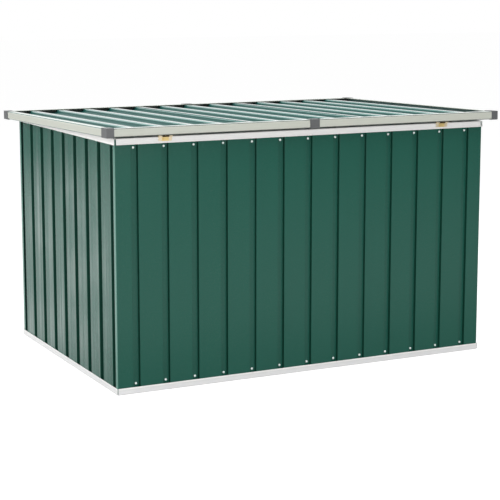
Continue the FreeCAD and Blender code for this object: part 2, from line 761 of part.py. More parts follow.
def make_rail_joiner(side):
    """A plastic joiner at the middle of a long rail: sleeve, web between the halves, and key."""
    body = new_body(f"lid_rail_joiner_{side.name}", on_lid=True)
    half = s.joiner_length / 2
    sleeve_y = ordered(side.edge, side.edge + side.inward * (s.cap_wall + s.lid_flange))
    plate_y = ordered(side.edge, side.edge + side.inward * s.cap_wall)
    low = lid_under - s.cap_wall
    high = lid_top + s.cap_wall
    add_pad(body, "Z", low, high, box_outline(-half, half, *plate_y))
    add_pad(body, "Z", low, lid_under, box_outline(-half, half, *sleeve_y))
    add_pad(body, "Z", lid_top, high, box_outline(-half, half, *sleeve_y))
    root = s.cap_wall + s.lid_rail_wall + s.key_play
    key_y = side.edge + side.inward * root
    key_end = key_y + side.inward * s.key_width
    web_y = ordered(side.edge + side.inward * s.cap_wall, key_end)
    add_pad(body, "Z", key_low, key_high, box_outline(-s.joiner_rib / 2, s.joiner_rib / 2, *web_y))
    add_pad(body, "Z", key_low, key_high, box_outline(-s.key_reach, s.key_reach, *ordered(key_y, key_end)))


def make_lid_sheets():
    """The lapped sheets of the lid, their ribs upwards, resting on the rails' shelves."""
    edge = s.cap_wall + s.lid_rail_wall + s.sheet_end_play
    side_x = lid_half - edge
    gauge = s.sheet_gauge
    ends = (
        ([(-side_x, ZERO)], [(-side_x, gauge)], False),
        ([(side_x, ZERO)], [(side_x, gauge)], False),
    )
    for part, name in enumerate(LONG_SHEETS):
        body = new_body(f"lid_sheet_{name}", on_lid=True)
        section = sheet_outline(long_stations, part, len(LONG_SHEETS), -1, *ends)
        outline = [(along, lid_seat + gauge - depth) for along, depth in section]
        add_pad(body, "Y", lid_front + edge, lid_back - edge, outline)


def build():
    """Makes every piece of the box in the order it goes together."""
    make_body_rails()
    for side in SIDES:
        if side.run == "X":
            make_wall_sheets(side, LONG_SHEETS, folded_ends())
        else:
            make_wall_sheets(side, END_SHEETS, tucked_ends())
        make_wall_screws(side)
    for long_side in SIDES[:2]:
        for end_side in SIDES[2:]:
            make_corner_post(long_side, end_side)
    for name, middle in HINGES:
        make_body_leaf(name, middle)
        make_lid_leaf(name, middle)
        make_hinge_pin(name, middle)
    make_hinge_screws()
    make_lid_rails()
    for side in LID_LONG_SIDES:
        for end in LID_ENDS:
            make_corner_cap(side, end)
        make_rail_joiner(side)
    make_lid_sheets()
    doc.recompute()


def check():
    """Stops if an object failed, a shape is broken or a cut took nothing away."""
    for item in doc.Objects:
        if "Invalid" in item.State or "Error" in item.State:
            raise RuntimeError(f"{item.Label} did not recompute: {item.State}")
        if item.TypeId == "PartDesign::Pocket":
            removed = item.BaseFeature.Shape.Volume - item.Shape.Volume
            if removed <= 0:
                raise RuntimeError(f"{item.Label} in {item.getParentGeoFeatureGroup().Label} cut nothing")
    for node in nodes:
        if node.Shape.isNull() or not node.Shape.isValid():
            raise RuntimeError(f"{node.Label} has no valid shape")


def export():
    """Writes each piece to a STEP file of its own name."""
    os.makedirs("parts", exist_ok=True)
    for node in nodes:
        node.Shape.exportStep(f"parts/{node.Label}.step")
        print(f"{node.Label}: {len(node.Shape.Solids)} solids, {node.Shape.Volume / 1000:.1f} cm3")


build()
check()
export()
print(f"lid slope {lid_slope.value:.3f} degrees, hinge axis y {axis_y.value:.3f} z {axis_z.value:.3f}")
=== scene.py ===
"""A garden storage box, dressed: folded sheets in channel rails, a framed lid, hinges, screws and a studio.

Metres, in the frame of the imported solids: +Z up, the hinged side towards -Y, the origin on the floor.
"""

import logging
import math
from collections.abc import Callable, Iterator, Sequence
from contextlib import contextmanager
from dataclasses import dataclass, replace
from enum import Enum

import bmesh
import bpy
from mathutils import Matrix, Vector


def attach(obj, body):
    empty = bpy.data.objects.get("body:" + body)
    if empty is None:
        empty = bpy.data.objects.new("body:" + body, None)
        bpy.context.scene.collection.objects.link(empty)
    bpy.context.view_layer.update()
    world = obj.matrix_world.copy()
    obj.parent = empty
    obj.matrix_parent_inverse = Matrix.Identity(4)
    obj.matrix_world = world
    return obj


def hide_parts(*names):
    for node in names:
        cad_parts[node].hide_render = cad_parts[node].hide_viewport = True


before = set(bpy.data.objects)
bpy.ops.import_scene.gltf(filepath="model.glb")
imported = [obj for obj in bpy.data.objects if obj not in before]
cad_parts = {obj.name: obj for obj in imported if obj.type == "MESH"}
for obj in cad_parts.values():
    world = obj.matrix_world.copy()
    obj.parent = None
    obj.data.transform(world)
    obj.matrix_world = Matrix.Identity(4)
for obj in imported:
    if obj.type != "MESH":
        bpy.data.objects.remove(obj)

log = logging.getLogger("garden_storage_box")

Point = tuple[float, float]
Place = tuple[float, float, float]
Colour = tuple[float, float, float]
Element = bmesh.types.BMVert | bmesh.types.BMEdge | bmesh.types.BMFace
Test = Callable[[Element], bool]

# Directions in the frame of the part
TO_RIGHT = (1.0, 0.0, 0.0)
TO_LEFT = (-1.0, 0.0, 0.0)
TO_BACK = (0.0, 1.0, 0.0)
TO_FRONT = (0.0, -1.0, 0.0)
UP = (0.0, 0.0, 1.0)
DOWN = (0.0, 0.0, -1.0)

# Two places that are nearer than this count as one
NEAR = 1e-6
# A face looks along an axis when its normal has this much of it
SQUARE_ON = 0.99
# The value about which a noise texture swings
NOISE_MEAN = 0.5


class Pick(Enum):
    """The kinds of mesh element that can be selected."""

    VERTS = "VERT"
    EDGES = "EDGE"
    FACES = "FACE"


class Body(Enum):
    """The two bodies that the hinges join."""

    BOX = "box"
    LID = "lid"


class Slot(Enum):
    """The record's material slots."""

    SHEET = "green_sheet"
    RAIL = "rail_paint"
    PLASTIC = "grey_plastic"
    ZINC = "zinc_steel"
    SCREW = "white_screw"
    BRASS = "hinge_brass"


class Side(Enum):
    """The four walls, named as their nodes are."""

    HINGE = "hinge_side"
    OPENING = "opening_side"
    LEFT = "left"
    RIGHT = "right"


class Ring(Enum):
    """The two rings of channel rails round the walls."""

    BASE = "base"
    TOP = "top"


class LidSide(Enum):
    """The lid's long sides, named as their nodes are."""

    HINGE = "hinge"
    OPENING = "opening"

    @property
    def out(self) -> int:
        """Which way along Y is outwards."""
        return -1 if self is LidSide.HINGE else 1


class End(Enum):
    """The two ends of the box, named as their nodes are."""

    LEFT = "left"
    RIGHT = "right"

    @property
    def out(self) -> int:
        """Which way along X is outwards."""
        return -1 if self is End.LEFT else 1


# Shared sizes


@dataclass(frozen=True)
class BoxPlan:
    """Sizes that more than one sub-assembly is built from."""

    length: float = 1.407
    depth: float = 0.960
    height: float = 0.837
    hinge_wall_y: float = -0.4875
    rail_wall: float = 0.002
    rail_face: float = 0.0024
    sheet_gauge: float = 0.0008
    groove_depth: float = 0.011
    groove_floor: float = 0.022
    groove_mouth: float = 0.025
    long_pan: float = 0.055
    end_pan: float = 0.014
    long_grooves: int = 13
    end_grooves: int = 9
    lap_play: float = 0.0004
    low_screw_z: float = 0.031
    high_screw_z: float = 0.805
    hinge_x: float = 0.530
    barrel_radius: float = 0.004
    axis_y: float = -0.4939
    axis_z: float = 0.8395
    lid_slope: float = math.radians(1.18868)
    lid_half: float = 0.745
    lid_front: float = -0.0336
    lid_back: float = 1.0214
    lid_under: float = 0.004
    lid_top: float = 0.0325
    lid_seat: float = 0.0179
    cap_wall: float = 0.0015
    lid_flange: float = 0.024

    @property
    def channel_depth(self) -> float:
        """Depth of a groove's inner face below the wall's outer plane."""
        return self.groove_depth + self.sheet_gauge

    def lid_edge(self, side: LidSide) -> float:
        """Place of one of the lid's long edges, from the hinge axis."""
        return self.lid_front if side is LidSide.HINGE else self.lid_back

    def lid_frame(self) -> Matrix:
        """The closed lid's frame: its origin on the hinge axis, Y towards the opening side.

        Returns:
            The matrix that places pieces drawn from the hinge axis.
        """
        turn = Matrix.Rotation(-self.lid_slope, 4, "X")
        return Matrix.Translation((0.0, self.axis_y, self.axis_z)) @ turn


def framed(
    x_axis: Sequence[float], y_axis: Sequence[float], z_axis: Sequence[float], place: Sequence[float]
) -> Matrix:
    """A frame from its three axes and its origin.

    Args:
        x_axis: Direction of local X.
        y_axis: Direction of local Y.
        z_axis: Direction of local Z.
        place: The origin.

    Returns:
        The matrix from local to the part's frame.
    """
    rotation = Matrix((x_axis, y_axis, z_axis)).transposed()
    return Matrix.Translation(Vector(place)) @ rotation.to_4x4()


@dataclass(frozen=True)
class WallPlan:
    """One wall: where it stands, which way it runs and how its grooves are set out."""

    side: Side
    middle: Place
    run: Place
    inward: Place
    half: float
    margin: float
    grooves: int
    sheets: tuple[str, ...]

    @property
    def is_long(self) -> bool:
        """Whether this is one of the two long walls."""
        return self.side in (Side.HINGE, Side.OPENING)

    def stations(self) -> list[float]:
        """Places of the grooves' middles along the run."""
        pitch = 2.0 * (self.half - self.margin) / (self.grooves - 1)
        return [self.margin - self.half + pitch * i for i in range(self.grooves)]

    def is_lapped(self, index: int) -> bool:
        """Whether two sheets lap in a groove."""
        pitches = (self.grooves - 1) // len(self.sheets)
        return index % pitches == 0 and 0 < index < self.grooves - 1

    def sheet_frame(self) -> Matrix:
        """The wall's frame for sheets: X along the run, Y into the box, Z up."""
        return framed(self.run, self.inward, UP, self.middle)

    def rail_frame(self) -> Matrix:
        """The wall's frame for rails: X into the box, Y up, Z along the run."""
        return framed(self.inward, UP, self.run, self.middle)

    def screw_frame(self, along: float, depth: float, height: float) -> Matrix:
        """The frame of a screw: Z out of the wall.

        Args:
            along: Place along the run.
            depth: Depth of the seat below the wall's outer plane.
            height: Height above the floor.

        Returns:
            The matrix that places a screw drawn on its seat.
        """
        inward = Vector(self.inward)
        foot = Vector(self.middle) + Vector(self.run) * along
        return framed(self.run, UP, -inward, foot + inward * depth + Vector(UP) * height)


def wall_plans(plan: BoxPlan) -> list[WallPlan]:
    """Sets out the four walls, running anticlockwise as seen from above.

    Args:
        plan: The shared sizes.

    Returns:
        One plan for each wall, the hinged one first.
    """
    half_length = plan.length / 2
    half_depth = plan.depth / 2
    middle_y = plan.hinge_wall_y + half_depth
    opening_y = plan.hinge_wall_y + plan.depth
    half_mouth = plan.groove_mouth / 2
    long_wall = (half_length, plan.long_pan + half_mouth, plan.long_grooves)
    end_wall = (half_depth, plan.end_pan + half_mouth, plan.end_grooves)
    thirds = ("left", "middle", "right")
    halves = ("hinge_end", "opening_end")
    return [
        WallPlan(Side.HINGE, (0.0, plan.hinge_wall_y, 0.0), TO_RIGHT, TO_BACK, *long_wall, thirds),
        WallPlan(Side.RIGHT, (half_length, middle_y, 0.0), TO_BACK, TO_LEFT, *end_wall, halves),
        WallPlan(Side.OPENING, (0.0, opening_y, 0.0), TO_LEFT, TO_FRONT, *long_wall, thirds[::-1]),
        WallPlan(Side.LEFT, (-half_length, middle_y, 0.0), TO_FRONT, TO_RIGHT, *end_wall, halves[::-1]),
    ]


# Bench work: the operators that every piece is shaped with


def clear_selection() -> None:
    """Leaves edit mode and deselects every object."""
    if bpy.context.object is not None and bpy.context.object.mode != "OBJECT":
        bpy.ops.object.mode_set(mode="OBJECT")
    bpy.ops.object.select_all(action="DESELECT")


def take_up(*pieces: bpy.types.Object) -> None:
    """Selects pieces alone and makes the first one active.

    Args:
        pieces: The pieces to select.
    """
    clear_selection()
    for piece in pieces:
        piece.select_set(True)
    bpy.context.view_layer.objects.active = pieces[0]


def apply_transform() -> None:
    """Moves the place, turn and size of what is selected into its mesh."""
    bpy.ops.object.transform_apply(location=True, rotation=True, scale=True)


def begun_as(name: str, size: Sequence[float] = (1.0, 1.0, 1.0)) -> bpy.types.Object:
    """Names the primitive that was just added, and gives it its size.

    Args:
        name: The part's name.
        size: Its size along each of its axes, as a multiple of the primitive's.

    Returns:
        The part, with its place in its mesh.
    """
    part = bpy.context.active_object
    part.name = name
    part.data.name = name
    part.scale = size
    apply_transform()
    return part


@contextmanager
def editing(piece: bpy.types.Object) -> Iterator[bpy.types.Object]:
    """Opens a piece in edit mode and closes it again.

    Args:
        piece: The piece to open.

    Yields:
        The same piece.
    """
    take_up(piece)
    bpy.ops.object.mode_set(mode="EDIT")
    yield piece
    bpy.ops.object.mode_set(mode="OBJECT")


def pick(piece: bpy.types.Object, kind: Pick, test: Test) -> int:
    """Selects the elements of an open piece that pass a test, and no others.

    Args:
        piece: A piece in edit mode.
        kind: Which elements to test.
        test: Says whether an element is selected.

    Returns:
        How many elements were selected.
    """
    bpy.ops.mesh.select_mode(type=kind.value)
    bpy.ops.mesh.select_all(action="DESELECT")
    mesh = bmesh.from_edit_mesh(piece.data)
    pool = {Pick.VERTS: mesh.verts, Pick.EDGES: mesh.edges, Pick.FACES: mesh.faces}[kind]
    chosen = [element for element in pool if test(element)]
    for element in chosen:
        element.select_set(True)
    mesh.select_flush_mode()
    bmesh.update_edit_mesh(piece.data)
    return len(chosen)


def extrude_by(step: Sequence[float]) -> None:
    """Extrudes what is selected by a vector."""
    bpy.ops.mesh.extrude_region_move(TRANSFORM_OT_translate={"value": tuple(step)})


def scale_round(share: float) -> None:
    """Scales what is selected about the Z axis."""
    bpy.ops.transform.resize(value=(share, share, 1.0), center_override=(0.0, 0.0, 0.0))


def round_off(width: float, segments: int, affect: str = "EDGES") -> None:
    """Rounds the selected edges, or the selected corners."""
    bpy.ops.mesh.bevel(offset=width, segments=segments, profile=0.5, affect=affect)


def cut_across(place: Sequence[float], normal: Sequence[float], **how: bool | float) -> None:
    """Cuts all of an open piece along a plane.

    Args:
        place: A point of the plane.
        normal: The plane's normal.
        how: What becomes of the two sides and of the cut.
    """
    bpy.ops.mesh.select_all(action="SELECT")
    bpy.ops.mesh.bisect(plane_co=place, plane_no=normal, **how)


def apply_place(piece: bpy.types.Object, place: Matrix) -> None:
    """Moves a piece's mesh to its place and leaves its object at the origin.

    Args:
        piece: A piece drawn in its own frame.
        place: The matrix of that frame.
    """
    piece.matrix_world = place
    take_up(piece)
    apply_transform()


def thicken(piece: bpy.types.Object, gauge: float) -> None:
    """Gives a folded strip its metal, away from its outer face.

    Args:
        piece: An open strip whose faces point outwards.
        gauge: Thickness of the metal.
    """
    take_up(piece)
    wall = piece.modifiers.new("gauge", "SOLIDIFY")
    wall.thickness = gauge
    wall.offset = -1.0
    wall.use_even_offset = True
    bpy.ops.object.modifier_apply(modifier=wall.name)


def ease_edges(piece: bpy.types.Object, width: float, segments: int = 2, angle: float = 40.0) -> None:
    """Rounds every edge of a piece that turns by more than an angle.

    Args:
        piece: A closed piece.
        width: Width of the rounding.
        segments: Facets across the rounding.
        angle: Least turn, in degrees.
    """
    take_up(piece)
    ease = piece.modifiers.new("eased_edges", "BEVEL")
    ease.width = width
    ease.segments = segments
    ease.limit_method = "ANGLE"
    ease.angle_limit = math.radians(angle)
    ease.harden_normals = False
    bpy.ops.object.modifier_apply(modifier=ease.name)


def smooth(piece: bpy.types.Object, angle: float = 35.0) -> None:
    """Shades a piece smooth except across sharp folds, and keeps its flats flat.

    Args:
        piece: The piece.
        angle: Least turn of a sharp fold, in degrees.
    """
    take_up(piece)
    bpy.ops.object.shade_smooth_by_angle(angle=math.radians(angle))
    weigh = piece.modifiers.new("flat_faces", "WEIGHTED_NORMAL")
    weigh.weight = 100
    weigh.keep_sharp = True
    bpy.ops.object.modifier_apply(modifier=weigh.name)


def close_mesh(piece: bpy.types.Object) -> None:
    """Merges doubled points and turns every face outwards.

    Args:
        piece: A piece whose cuts have been filled.
    """
    with editing(piece):
        bpy.ops.mesh.select_all(action="SELECT")
        bpy.ops.mesh.remove_doubles(threshold=NEAR)
        bpy.ops.mesh.normals_make_consistent(inside=False)


def join_as(name: str, parts: Sequence[bpy.types.Object]) -> bpy.types.Object:
    """Joins parts into one piece.

    Args:
        name: The piece's name.
        parts: The parts, the first of which becomes the piece.

    Returns:
        The joined piece.
    """
    take_up(*parts)
    bpy.ops.object.join()
    parts[0].name = name
    parts[0].data.name = name
    return parts[0]


def fold_strip(
    name: str,
    line: Sequence[Point],
    ends: Sequence[float],
    gauge: float,
    radius: float,
    rounder: tuple[float, Sequence[Point]] = (0.0, ()),
    trim: Callable[[bpy.types.Object], None] | None = None,
) -> bpy.types.Object:
    """Folds a strip of sheet along a line that is seen end on.

    The strip's outer face is on the right of the line, and its metal on the left.

    Args:
        name: The piece's name.
        line: Points of the outer face, as (x, y) pairs.
        ends: Where the strip starts and ends along Z.
        gauge: Thickness of the metal.
        radius: Width of the rounding at each fold.
        rounder: Width of the rounding at some wider folds, and their points.
        trim: Cuts the open strip before it gets its metal.

    Returns:
        The folded strip.
    """
    low, high = ends
    wide_radius, wide_points = rounder
    step = Vector(line[1]) - Vector(line[0])
    middle = Vector(line[0]) + step / 2
    clear_selection()
    bpy.ops.mesh.primitive_plane_add(
        size=1.0,
        location=(*middle, (low + high) / 2),
        rotation=(math.pi / 2, 0.0, math.atan2(step.y, step.x)),
    )
    strip = begun_as(name, (step.length, high - low, 1.0))

    def is_at(vert: bmesh.types.BMVert, point: Point) -> bool:
        """Whether a vertex lies on a point of the line."""
        return (vert.co.xy - Vector(point)).length < NEAR

    def is_fold(edge: bmesh.types.BMEdge, among_wide: bool) -> bool:
        """Whether an edge is one of the wider folds, or one of the others.

        Args:
            edge: The edge.
            among_wide: Whether the wider folds are looked for.

        Returns:
            Whether it is one of those.
        """
        first, second = edge.verts
        is_upright = is_at(first, second.co.xy) and len(edge.link_faces) == 2
        return is_upright and among_wide == any(is_at(first, point) for point in wide_points)

    with editing(strip):
        pick(strip, Pick.VERTS, lambda vert: is_at(vert, line[1]))
        bpy.ops.mesh.select_mode(type="EDGE")
        for first, second in zip(line[1:], line[2:]):
            extrude_by((second[0] - first[0], second[1] - first[1], 0.0))
        if pick(strip, Pick.EDGES, lambda edge: is_fold(edge, False)):
            round_off(radius, segments=3)
        if pick(strip, Pick.EDGES, lambda edge: is_fold(edge, True)):
            round_off(wide_radius, segments=6)
        if trim is not None:
            trim(strip)
    thicken(strip, gauge)
    return strip


def box_part(name: str, low: Sequence[float], high: Sequence[float]) -> bpy.types.Object:
    """A block between two corners, as the start of a moulded piece.

    Args:
        name: The part's name.
        low: Lowest corner.
        high: Highest corner.

    Returns:
        The block.
    """
    clear_selection()
    bpy.ops.mesh.primitive_cube_add(size=1.0, location=(Vector(low) + Vector(high)) / 2)
    return begun_as(name, Vector(high) - Vector(low))


def copies_as(name: str, pattern: bpy.types.Object, places: Sequence[Matrix]) -> bpy.types.Object:
    """Copies a finished pattern to several places and joins the copies.

    Args:
        name: The group's name.
        pattern: The modelled original, which stays as it is.
        places: One matrix for each copy.

    Returns:
        The joined group.
    """
    parts = []
    for place in places:
        part = pattern.copy()
        part.data = pattern.data.copy()
        bpy.context.scene.collection.objects.link(part)
        part.matrix_world = place
        parts.append(part)
    take_up(*parts)
    apply_transform()
    return join_as(name, parts)


def scrap(pattern: bpy.types.Object) -> None:
    """Removes a pattern that has been copied.

    Args:
        pattern: The pattern.
    """
    mesh = pattern.data
    bpy.data.objects.remove(pattern)
    bpy.data.meshes.remove(mesh)


def paint(
    piece: bpy.types.Object, main: bpy.types.Material, *others: tuple[bpy.types.Material, Test]
) -> None:
    """Gives a piece more than one finish.

    Args:
        piece: The piece.
        main: The finish of most of its faces.
        others: Further finishes, each with the test that its faces pass.
    """
    piece.data.materials.append(main)
    with editing(piece):
        for index, (finish, test) in enumerate(others, start=1):
            piece.data.materials.append(finish)
            pick(piece, Pick.FACES, test)
            piece.active_material_index = index
            bpy.ops.object.material_slot_assign()


def fit(piece: bpy.types.Object, body: Body, finish: bpy.types.Material, node: str) -> None:
    """Gives a piece its finish, sets it on its body and lets it stand for its node.

    Args:
        piece: The finished piece, in its place.
        body: The body that carries it.
        finish: Its material, unless it has been painted already.
        node: The node that it replaces.
    """
    if not piece.data.materials:
        piece.data.materials.append(finish)
    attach(piece, body.value)
    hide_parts(node)
    log.info("%s stands for %s", piece.name, node)


def install(
    piece: bpy.types.Object, place: Matrix, body: Body, finish: bpy.types.Material, node: str
) -> None:
    """Puts a piece in its place, smooths it and fits it.

    Args:
        piece: A piece drawn in its own frame.
        place: The matrix of that frame.
        body: The body that carries it.
        finish: Its material, unless it has been painted already.
        node: The node that it replaces.
    """
    apply_place(piece, place)
    smooth(piece)
    fit(piece, body, finish, node)


# Finishes


def set_values(node: bpy.types.Node, **values: object) -> None:
    """Sets a node's properties, or its inputs where a property has no such name.

    Args:
        node: The node.
        values: Property or input values, with underscores for spaces in an input's name.
    """
    for label, value in values.items():
        if hasattr(node, label):
            setattr(node, label, value)
        else:
            node.inputs[label.replace("_", " ")].default_value = value


def add_node(tree: bpy.types.NodeTree, kind: str, **values: object) -> bpy.types.Node:
    """Adds a node and sets its values.

    Args:
        tree: The tree to add to.
        kind: The node's type name.
        values: Property or input values, with underscores for spaces in an input's name.

    Returns:
        The node.
    """
    node = tree.nodes.new(kind)
    set_values(node, **values)
    return node


def add_math(
    tree: bpy.types.NodeTree, operation: str, *terms: bpy.types.NodeSocket | float, use_clamp: bool = False
) -> bpy.types.NodeSocket:
    """Adds a math node.

    Args:
        tree: The tree to add to.
        operation: What the node works out.
        terms: Its inputs in order, each a socket or a number.
        use_clamp: Whether the result stays between 0 and 1.

    Returns:
        The result.
    """
    node = add_node(tree, "ShaderNodeMath", operation=operation, use_clamp=use_clamp)
    for socket, term in zip(node.inputs, terms):
        if isinstance(term, bpy.types.NodeSocket):
            tree.links.new(term, socket)
        else:
            socket.default_value = term
    return node.outputs["Value"]


def add_noise(
    tree: bpy.types.NodeTree,
    place: bpy.types.NodeSocket,
    scale: bpy.types.NodeSocket,
    detail: float,
    rough: float,
) -> bpy.types.NodeSocket:
    """Adds noise, stretched along the axes where its scale is a vector.

    Args:
        tree: The tree to add to.
        place: Where the noise is read.
        scale: A number, or a vector with one number for each axis.
        detail: How many finer layers it has.
        rough: How strong the finer layers are.

    Returns:
        The noise's value.
    """
    noise = add_node(tree, "ShaderNodeTexNoise", Scale=1.0, Detail=detail, Roughness=rough)
    if scale.type == "VECTOR":
        stretch = add_node(tree, "ShaderNodeVectorMath", operation="MULTIPLY")
        tree.links.new(place, stretch.inputs[0])
        tree.links.new(scale, stretch.inputs[1])
        tree.links.new(stretch.outputs["Vector"], noise.inputs["Vector"])
    else:
        tree.links.new(place, noise.inputs["Vector"])
        tree.links.new(scale, noise.inputs["Scale"])
    return noise.outputs["Fac"]


def new_group(
    name: str, inputs: Sequence[tuple[str, str, object]], outputs: Sequence[tuple[str, str]]
) -> tuple[bpy.types.NodeTree, bpy.types.NodeOutputs, bpy.types.NodeInputs]:
    """Starts a shader node group with named sockets.

    Args:
        name: The group's name.
        inputs: Name, socket type and default of each input.
        outputs: Name and socket type of each output.

    Returns:
        The group, the sockets that give its inputs and the sockets that take its outputs.
    """
    group = bpy.data.node_groups.new(name, "ShaderNodeTree")
    for label, kind, default in inputs:
        socket = group.interface.new_socket(name=label, in_out="INPUT", socket_type=kind)
        socket.default_value = default
    for label, kind in outputs:
        group.interface.new_socket(name=label, in_out="OUTPUT", socket_type=kind)
    given = group.nodes.new("NodeGroupInput").outputs
    taken = group.nodes.new("NodeGroupOutput").inputs
    return group, given, taken


def make_drift_group() -> bpy.types.NodeTree:
    """A group that lets a colour drift in broad patches and long streaks, as a coating line leaves it.

    Returns:
        The group.
    """
    group, given, taken = new_group(
        "coating_drift",
        (
            ("Color", "NodeSocketColor", (0.5, 0.5, 0.5, 1.0)),
            ("Patch Scale", "NodeSocketFloat", 3.0),
            ("Streak Scale", "NodeSocketVector", (60.0, 60.0, 0.6)),
            ("Amount", "NodeSocketFloat", 0.08),
        ),
        (("Color", "NodeSocketColor"), ("Mask", "NodeSocketFloat")),
    )
    place = add_node(group, "ShaderNodeTexCoord").outputs["Object"]
    patches = add_noise(group, place, given["Patch Scale"], detail=3.0, rough=0.55)
    streaks = add_noise(group, place, given["Streak Scale"], detail=2.0, rough=0.6)
    both = add_math(group, "ADD", patches, streaks)
    level = add_math(group, "SUBTRACT", both, 2 * NOISE_MEAN)
    swing = add_math(group, "MULTIPLY_ADD", level, given["Amount"], 1.0)
    tint = add_node(group, "ShaderNodeVectorMath", operation="SCALE")
    group.links.new(given["Color"], tint.inputs[0])
    group.links.new(swing, tint.inputs["Scale"])
    group.links.new(tint.outputs["Vector"], taken["Color"])
    group.links.new(both, taken["Mask"])
    return group


def make_grain_group() -> bpy.types.NodeTree:
    """A group with the fine height and roughness of a sprayed, moulded or rolled surface.

    Returns:
        The group.
    """
    group, given, taken = new_group(
        "surface_grain",
        (
            ("Grain Scale", "NodeSocketFloat", 700.0),
            ("Grain Height", "NodeSocketFloat", 1.0),
            ("Wave Scale", "NodeSocketVector", (9.0, 9.0, 9.0)),
            ("Wave Height", "NodeSocketFloat", 0.4),
            ("Roughness", "NodeSocketFloat", 0.4),
            ("Roughness Swing", "NodeSocketFloat", 0.08),
        ),
        (("Height", "NodeSocketFloat"), ("Roughness", "NodeSocketFloat")),
    )
    place = add_node(group, "ShaderNodeTexCoord").outputs["Object"]
    grain = add_noise(group, place, given["Grain Scale"], detail=2.0, rough=0.5)
    wave = add_noise(group, place, given["Wave Scale"], detail=1.0, rough=0.4)
    fine = add_math(group, "MULTIPLY", grain, given["Grain Height"])
    height = add_math(group, "MULTIPLY_ADD", wave, given["Wave Height"], fine)
    level = add_math(group, "SUBTRACT", grain, NOISE_MEAN)
    swing = (level, given["Roughness Swing"], given["Roughness"])
    group.links.new(height, taken["Height"])
    group.links.new(add_math(group, "MULTIPLY_ADD", *swing, use_clamp=True), taken["Roughness"])
    return group


@dataclass(frozen=True)
class Groups:
    """The node groups that the finishes share."""

    drift: bpy.types.NodeTree
    grain: bpy.types.NodeTree


@dataclass(frozen=True)
class Finish:
    """One surface finish: its colour, gloss, drift and grain."""

    name: str
    colour: Colour
    roughness: float
    metallic: float = 0.0
    ior: float = 1.5
    specular: float = 0.5
    coat: float = 0.0
    coat_swing: float = 0.0
    coat_roughness: float = 0.12
    drift: float = 0.06
    streaks: Place = (60.0, 60.0, 0.6)
    grain_scale: float = 700.0
    grain_height: float = 1.0
    waves: Place = (9.0, 9.0, 9.0)
    wave_height: float = 0.3
    bump: float = 0.05
    bump_distance: float = 0.0004
    roughness_swing: float = 0.1

    def material(self, groups: Groups) -> bpy.types.Material:
        """Builds the finish as a node material.

        Args:
            groups: The shared node groups.

        Returns:
            The material.
        """
        material = bpy.data.materials.new(self.name)
        material.use_nodes = True
        tree = material.node_tree
        shader = tree.nodes["Principled BSDF"]
        set_values(shader, Metallic=self.metallic, IOR=self.ior, Specular_IOR_Level=self.specular)
        set_values(shader, Coat_Weight=self.coat, Coat_Roughness=self.coat_roughness)
        drift = add_node(
            tree,
            "ShaderNodeGroup",
            node_tree=groups.drift,
            Color=(*self.colour, 1.0),
            Amount=self.drift,
            Streak_Scale=self.streaks,
        )
        grain = add_node(
            tree,
            "ShaderNodeGroup",
            node_tree=groups.grain,
            Grain_Scale=self.grain_scale,
            Grain_Height=self.grain_height,
            Wave_Scale=self.waves,
            Wave_Height=self.wave_height,
            Roughness=self.roughness,
            Roughness_Swing=self.roughness_swing,
        )
        bump = add_node(tree, "ShaderNodeBump", Strength=self.bump, Distance=self.bump_distance)
        if self.coat_swing:
            swing = (drift.outputs["Mask"], self.coat_swing, self.coat - self.coat_swing)
            gloss = add_math(tree, "MULTIPLY_ADD", *swing, use_clamp=True)
            tree.links.new(gloss, shader.inputs["Coat Weight"])
        tree.links.new(drift.outputs["Color"], shader.inputs["Base Color"])
        tree.links.new(grain.outputs["Roughness"], shader.inputs["Roughness"])
        tree.links.new(grain.outputs["Height"], bump.inputs["Height"])
        tree.links.new(bump.outputs["Normal"], shader.inputs["Normal"])
        return material


WALL_GREEN = Finish(
    "wall_green",
    (0.007, 0.084, 0.0585),
    0.26,
    drift=0.07,
    streaks=(40.0, 40.0, 0.5),
    grain_height=0.15,
    waves=(30.0, 30.0, 0.9),
    wave_height=8.0,
    bump=0.10,
)
END_GREEN = replace(WALL_GREEN, name="end_green", coat=0.12, coat_swing=2.5, streaks=(60.0, 60.0, 0.5))
# Lighter, glossier green on the corner folds: a painted highlight.
CORNER_HIGHLIGHT_GREEN = replace(WALL_GREEN, name="corner_painted_highlight", colour=(0.07, 0.20, 0.16), coat=0.3)
# Darker, duller green on the grooves' flanks: painted shade in the recesses.
GROOVE_SHADE_GREEN = Finish(
    "groove_painted_shade",
    (0.003, 0.050, 0.032),
    0.5,
    specular=0.2,
    drift=0.12,
    streaks=(40.0, 40.0, 0.5),
    grain_height=0.3,
    waves=(30.0, 30.0, 0.9),
    wave_height=4.0,
)
LID_GREEN = Finish(
    "lid_green",
    (0.012, 0.088, 0.077),
    0.44,
    specular=0.3,
    drift=0.07,
    streaks=(40.0, 0.5, 40.0),
    grain_height=0.3,
    waves=(45.0, 0.9, 45.0),
    wave_height=4.0,
    bump=0.06,
)
# Lighter, glossier green on the rib tops: a painted highlight.
RIB_HIGHLIGHT_GREEN = replace(
    LID_GREEN,
    name="rib_painted_highlight",
    colour=(0.100, 0.260, 0.235),
    roughness=0.12,
    specular=0.5,
    coat=0.8,
    drift=0.10,
    wave_height=2.0,
    bump=0.05,
)
BODY_WHITE = Finish("body_rail_white", (0.87, 0.86, 0.85), 0.32, drift=0.03, streaks=(0.8, 0.8, 90.0))
# Greyer copy of the rail white below the base rails' hems: painted shade.
BASE_SHADE_WHITE = Finish("base_rail_painted_shade", (0.72, 0.72, 0.72), 0.40, drift=0.05, streaks=(0.8, 0.8, 90.0))
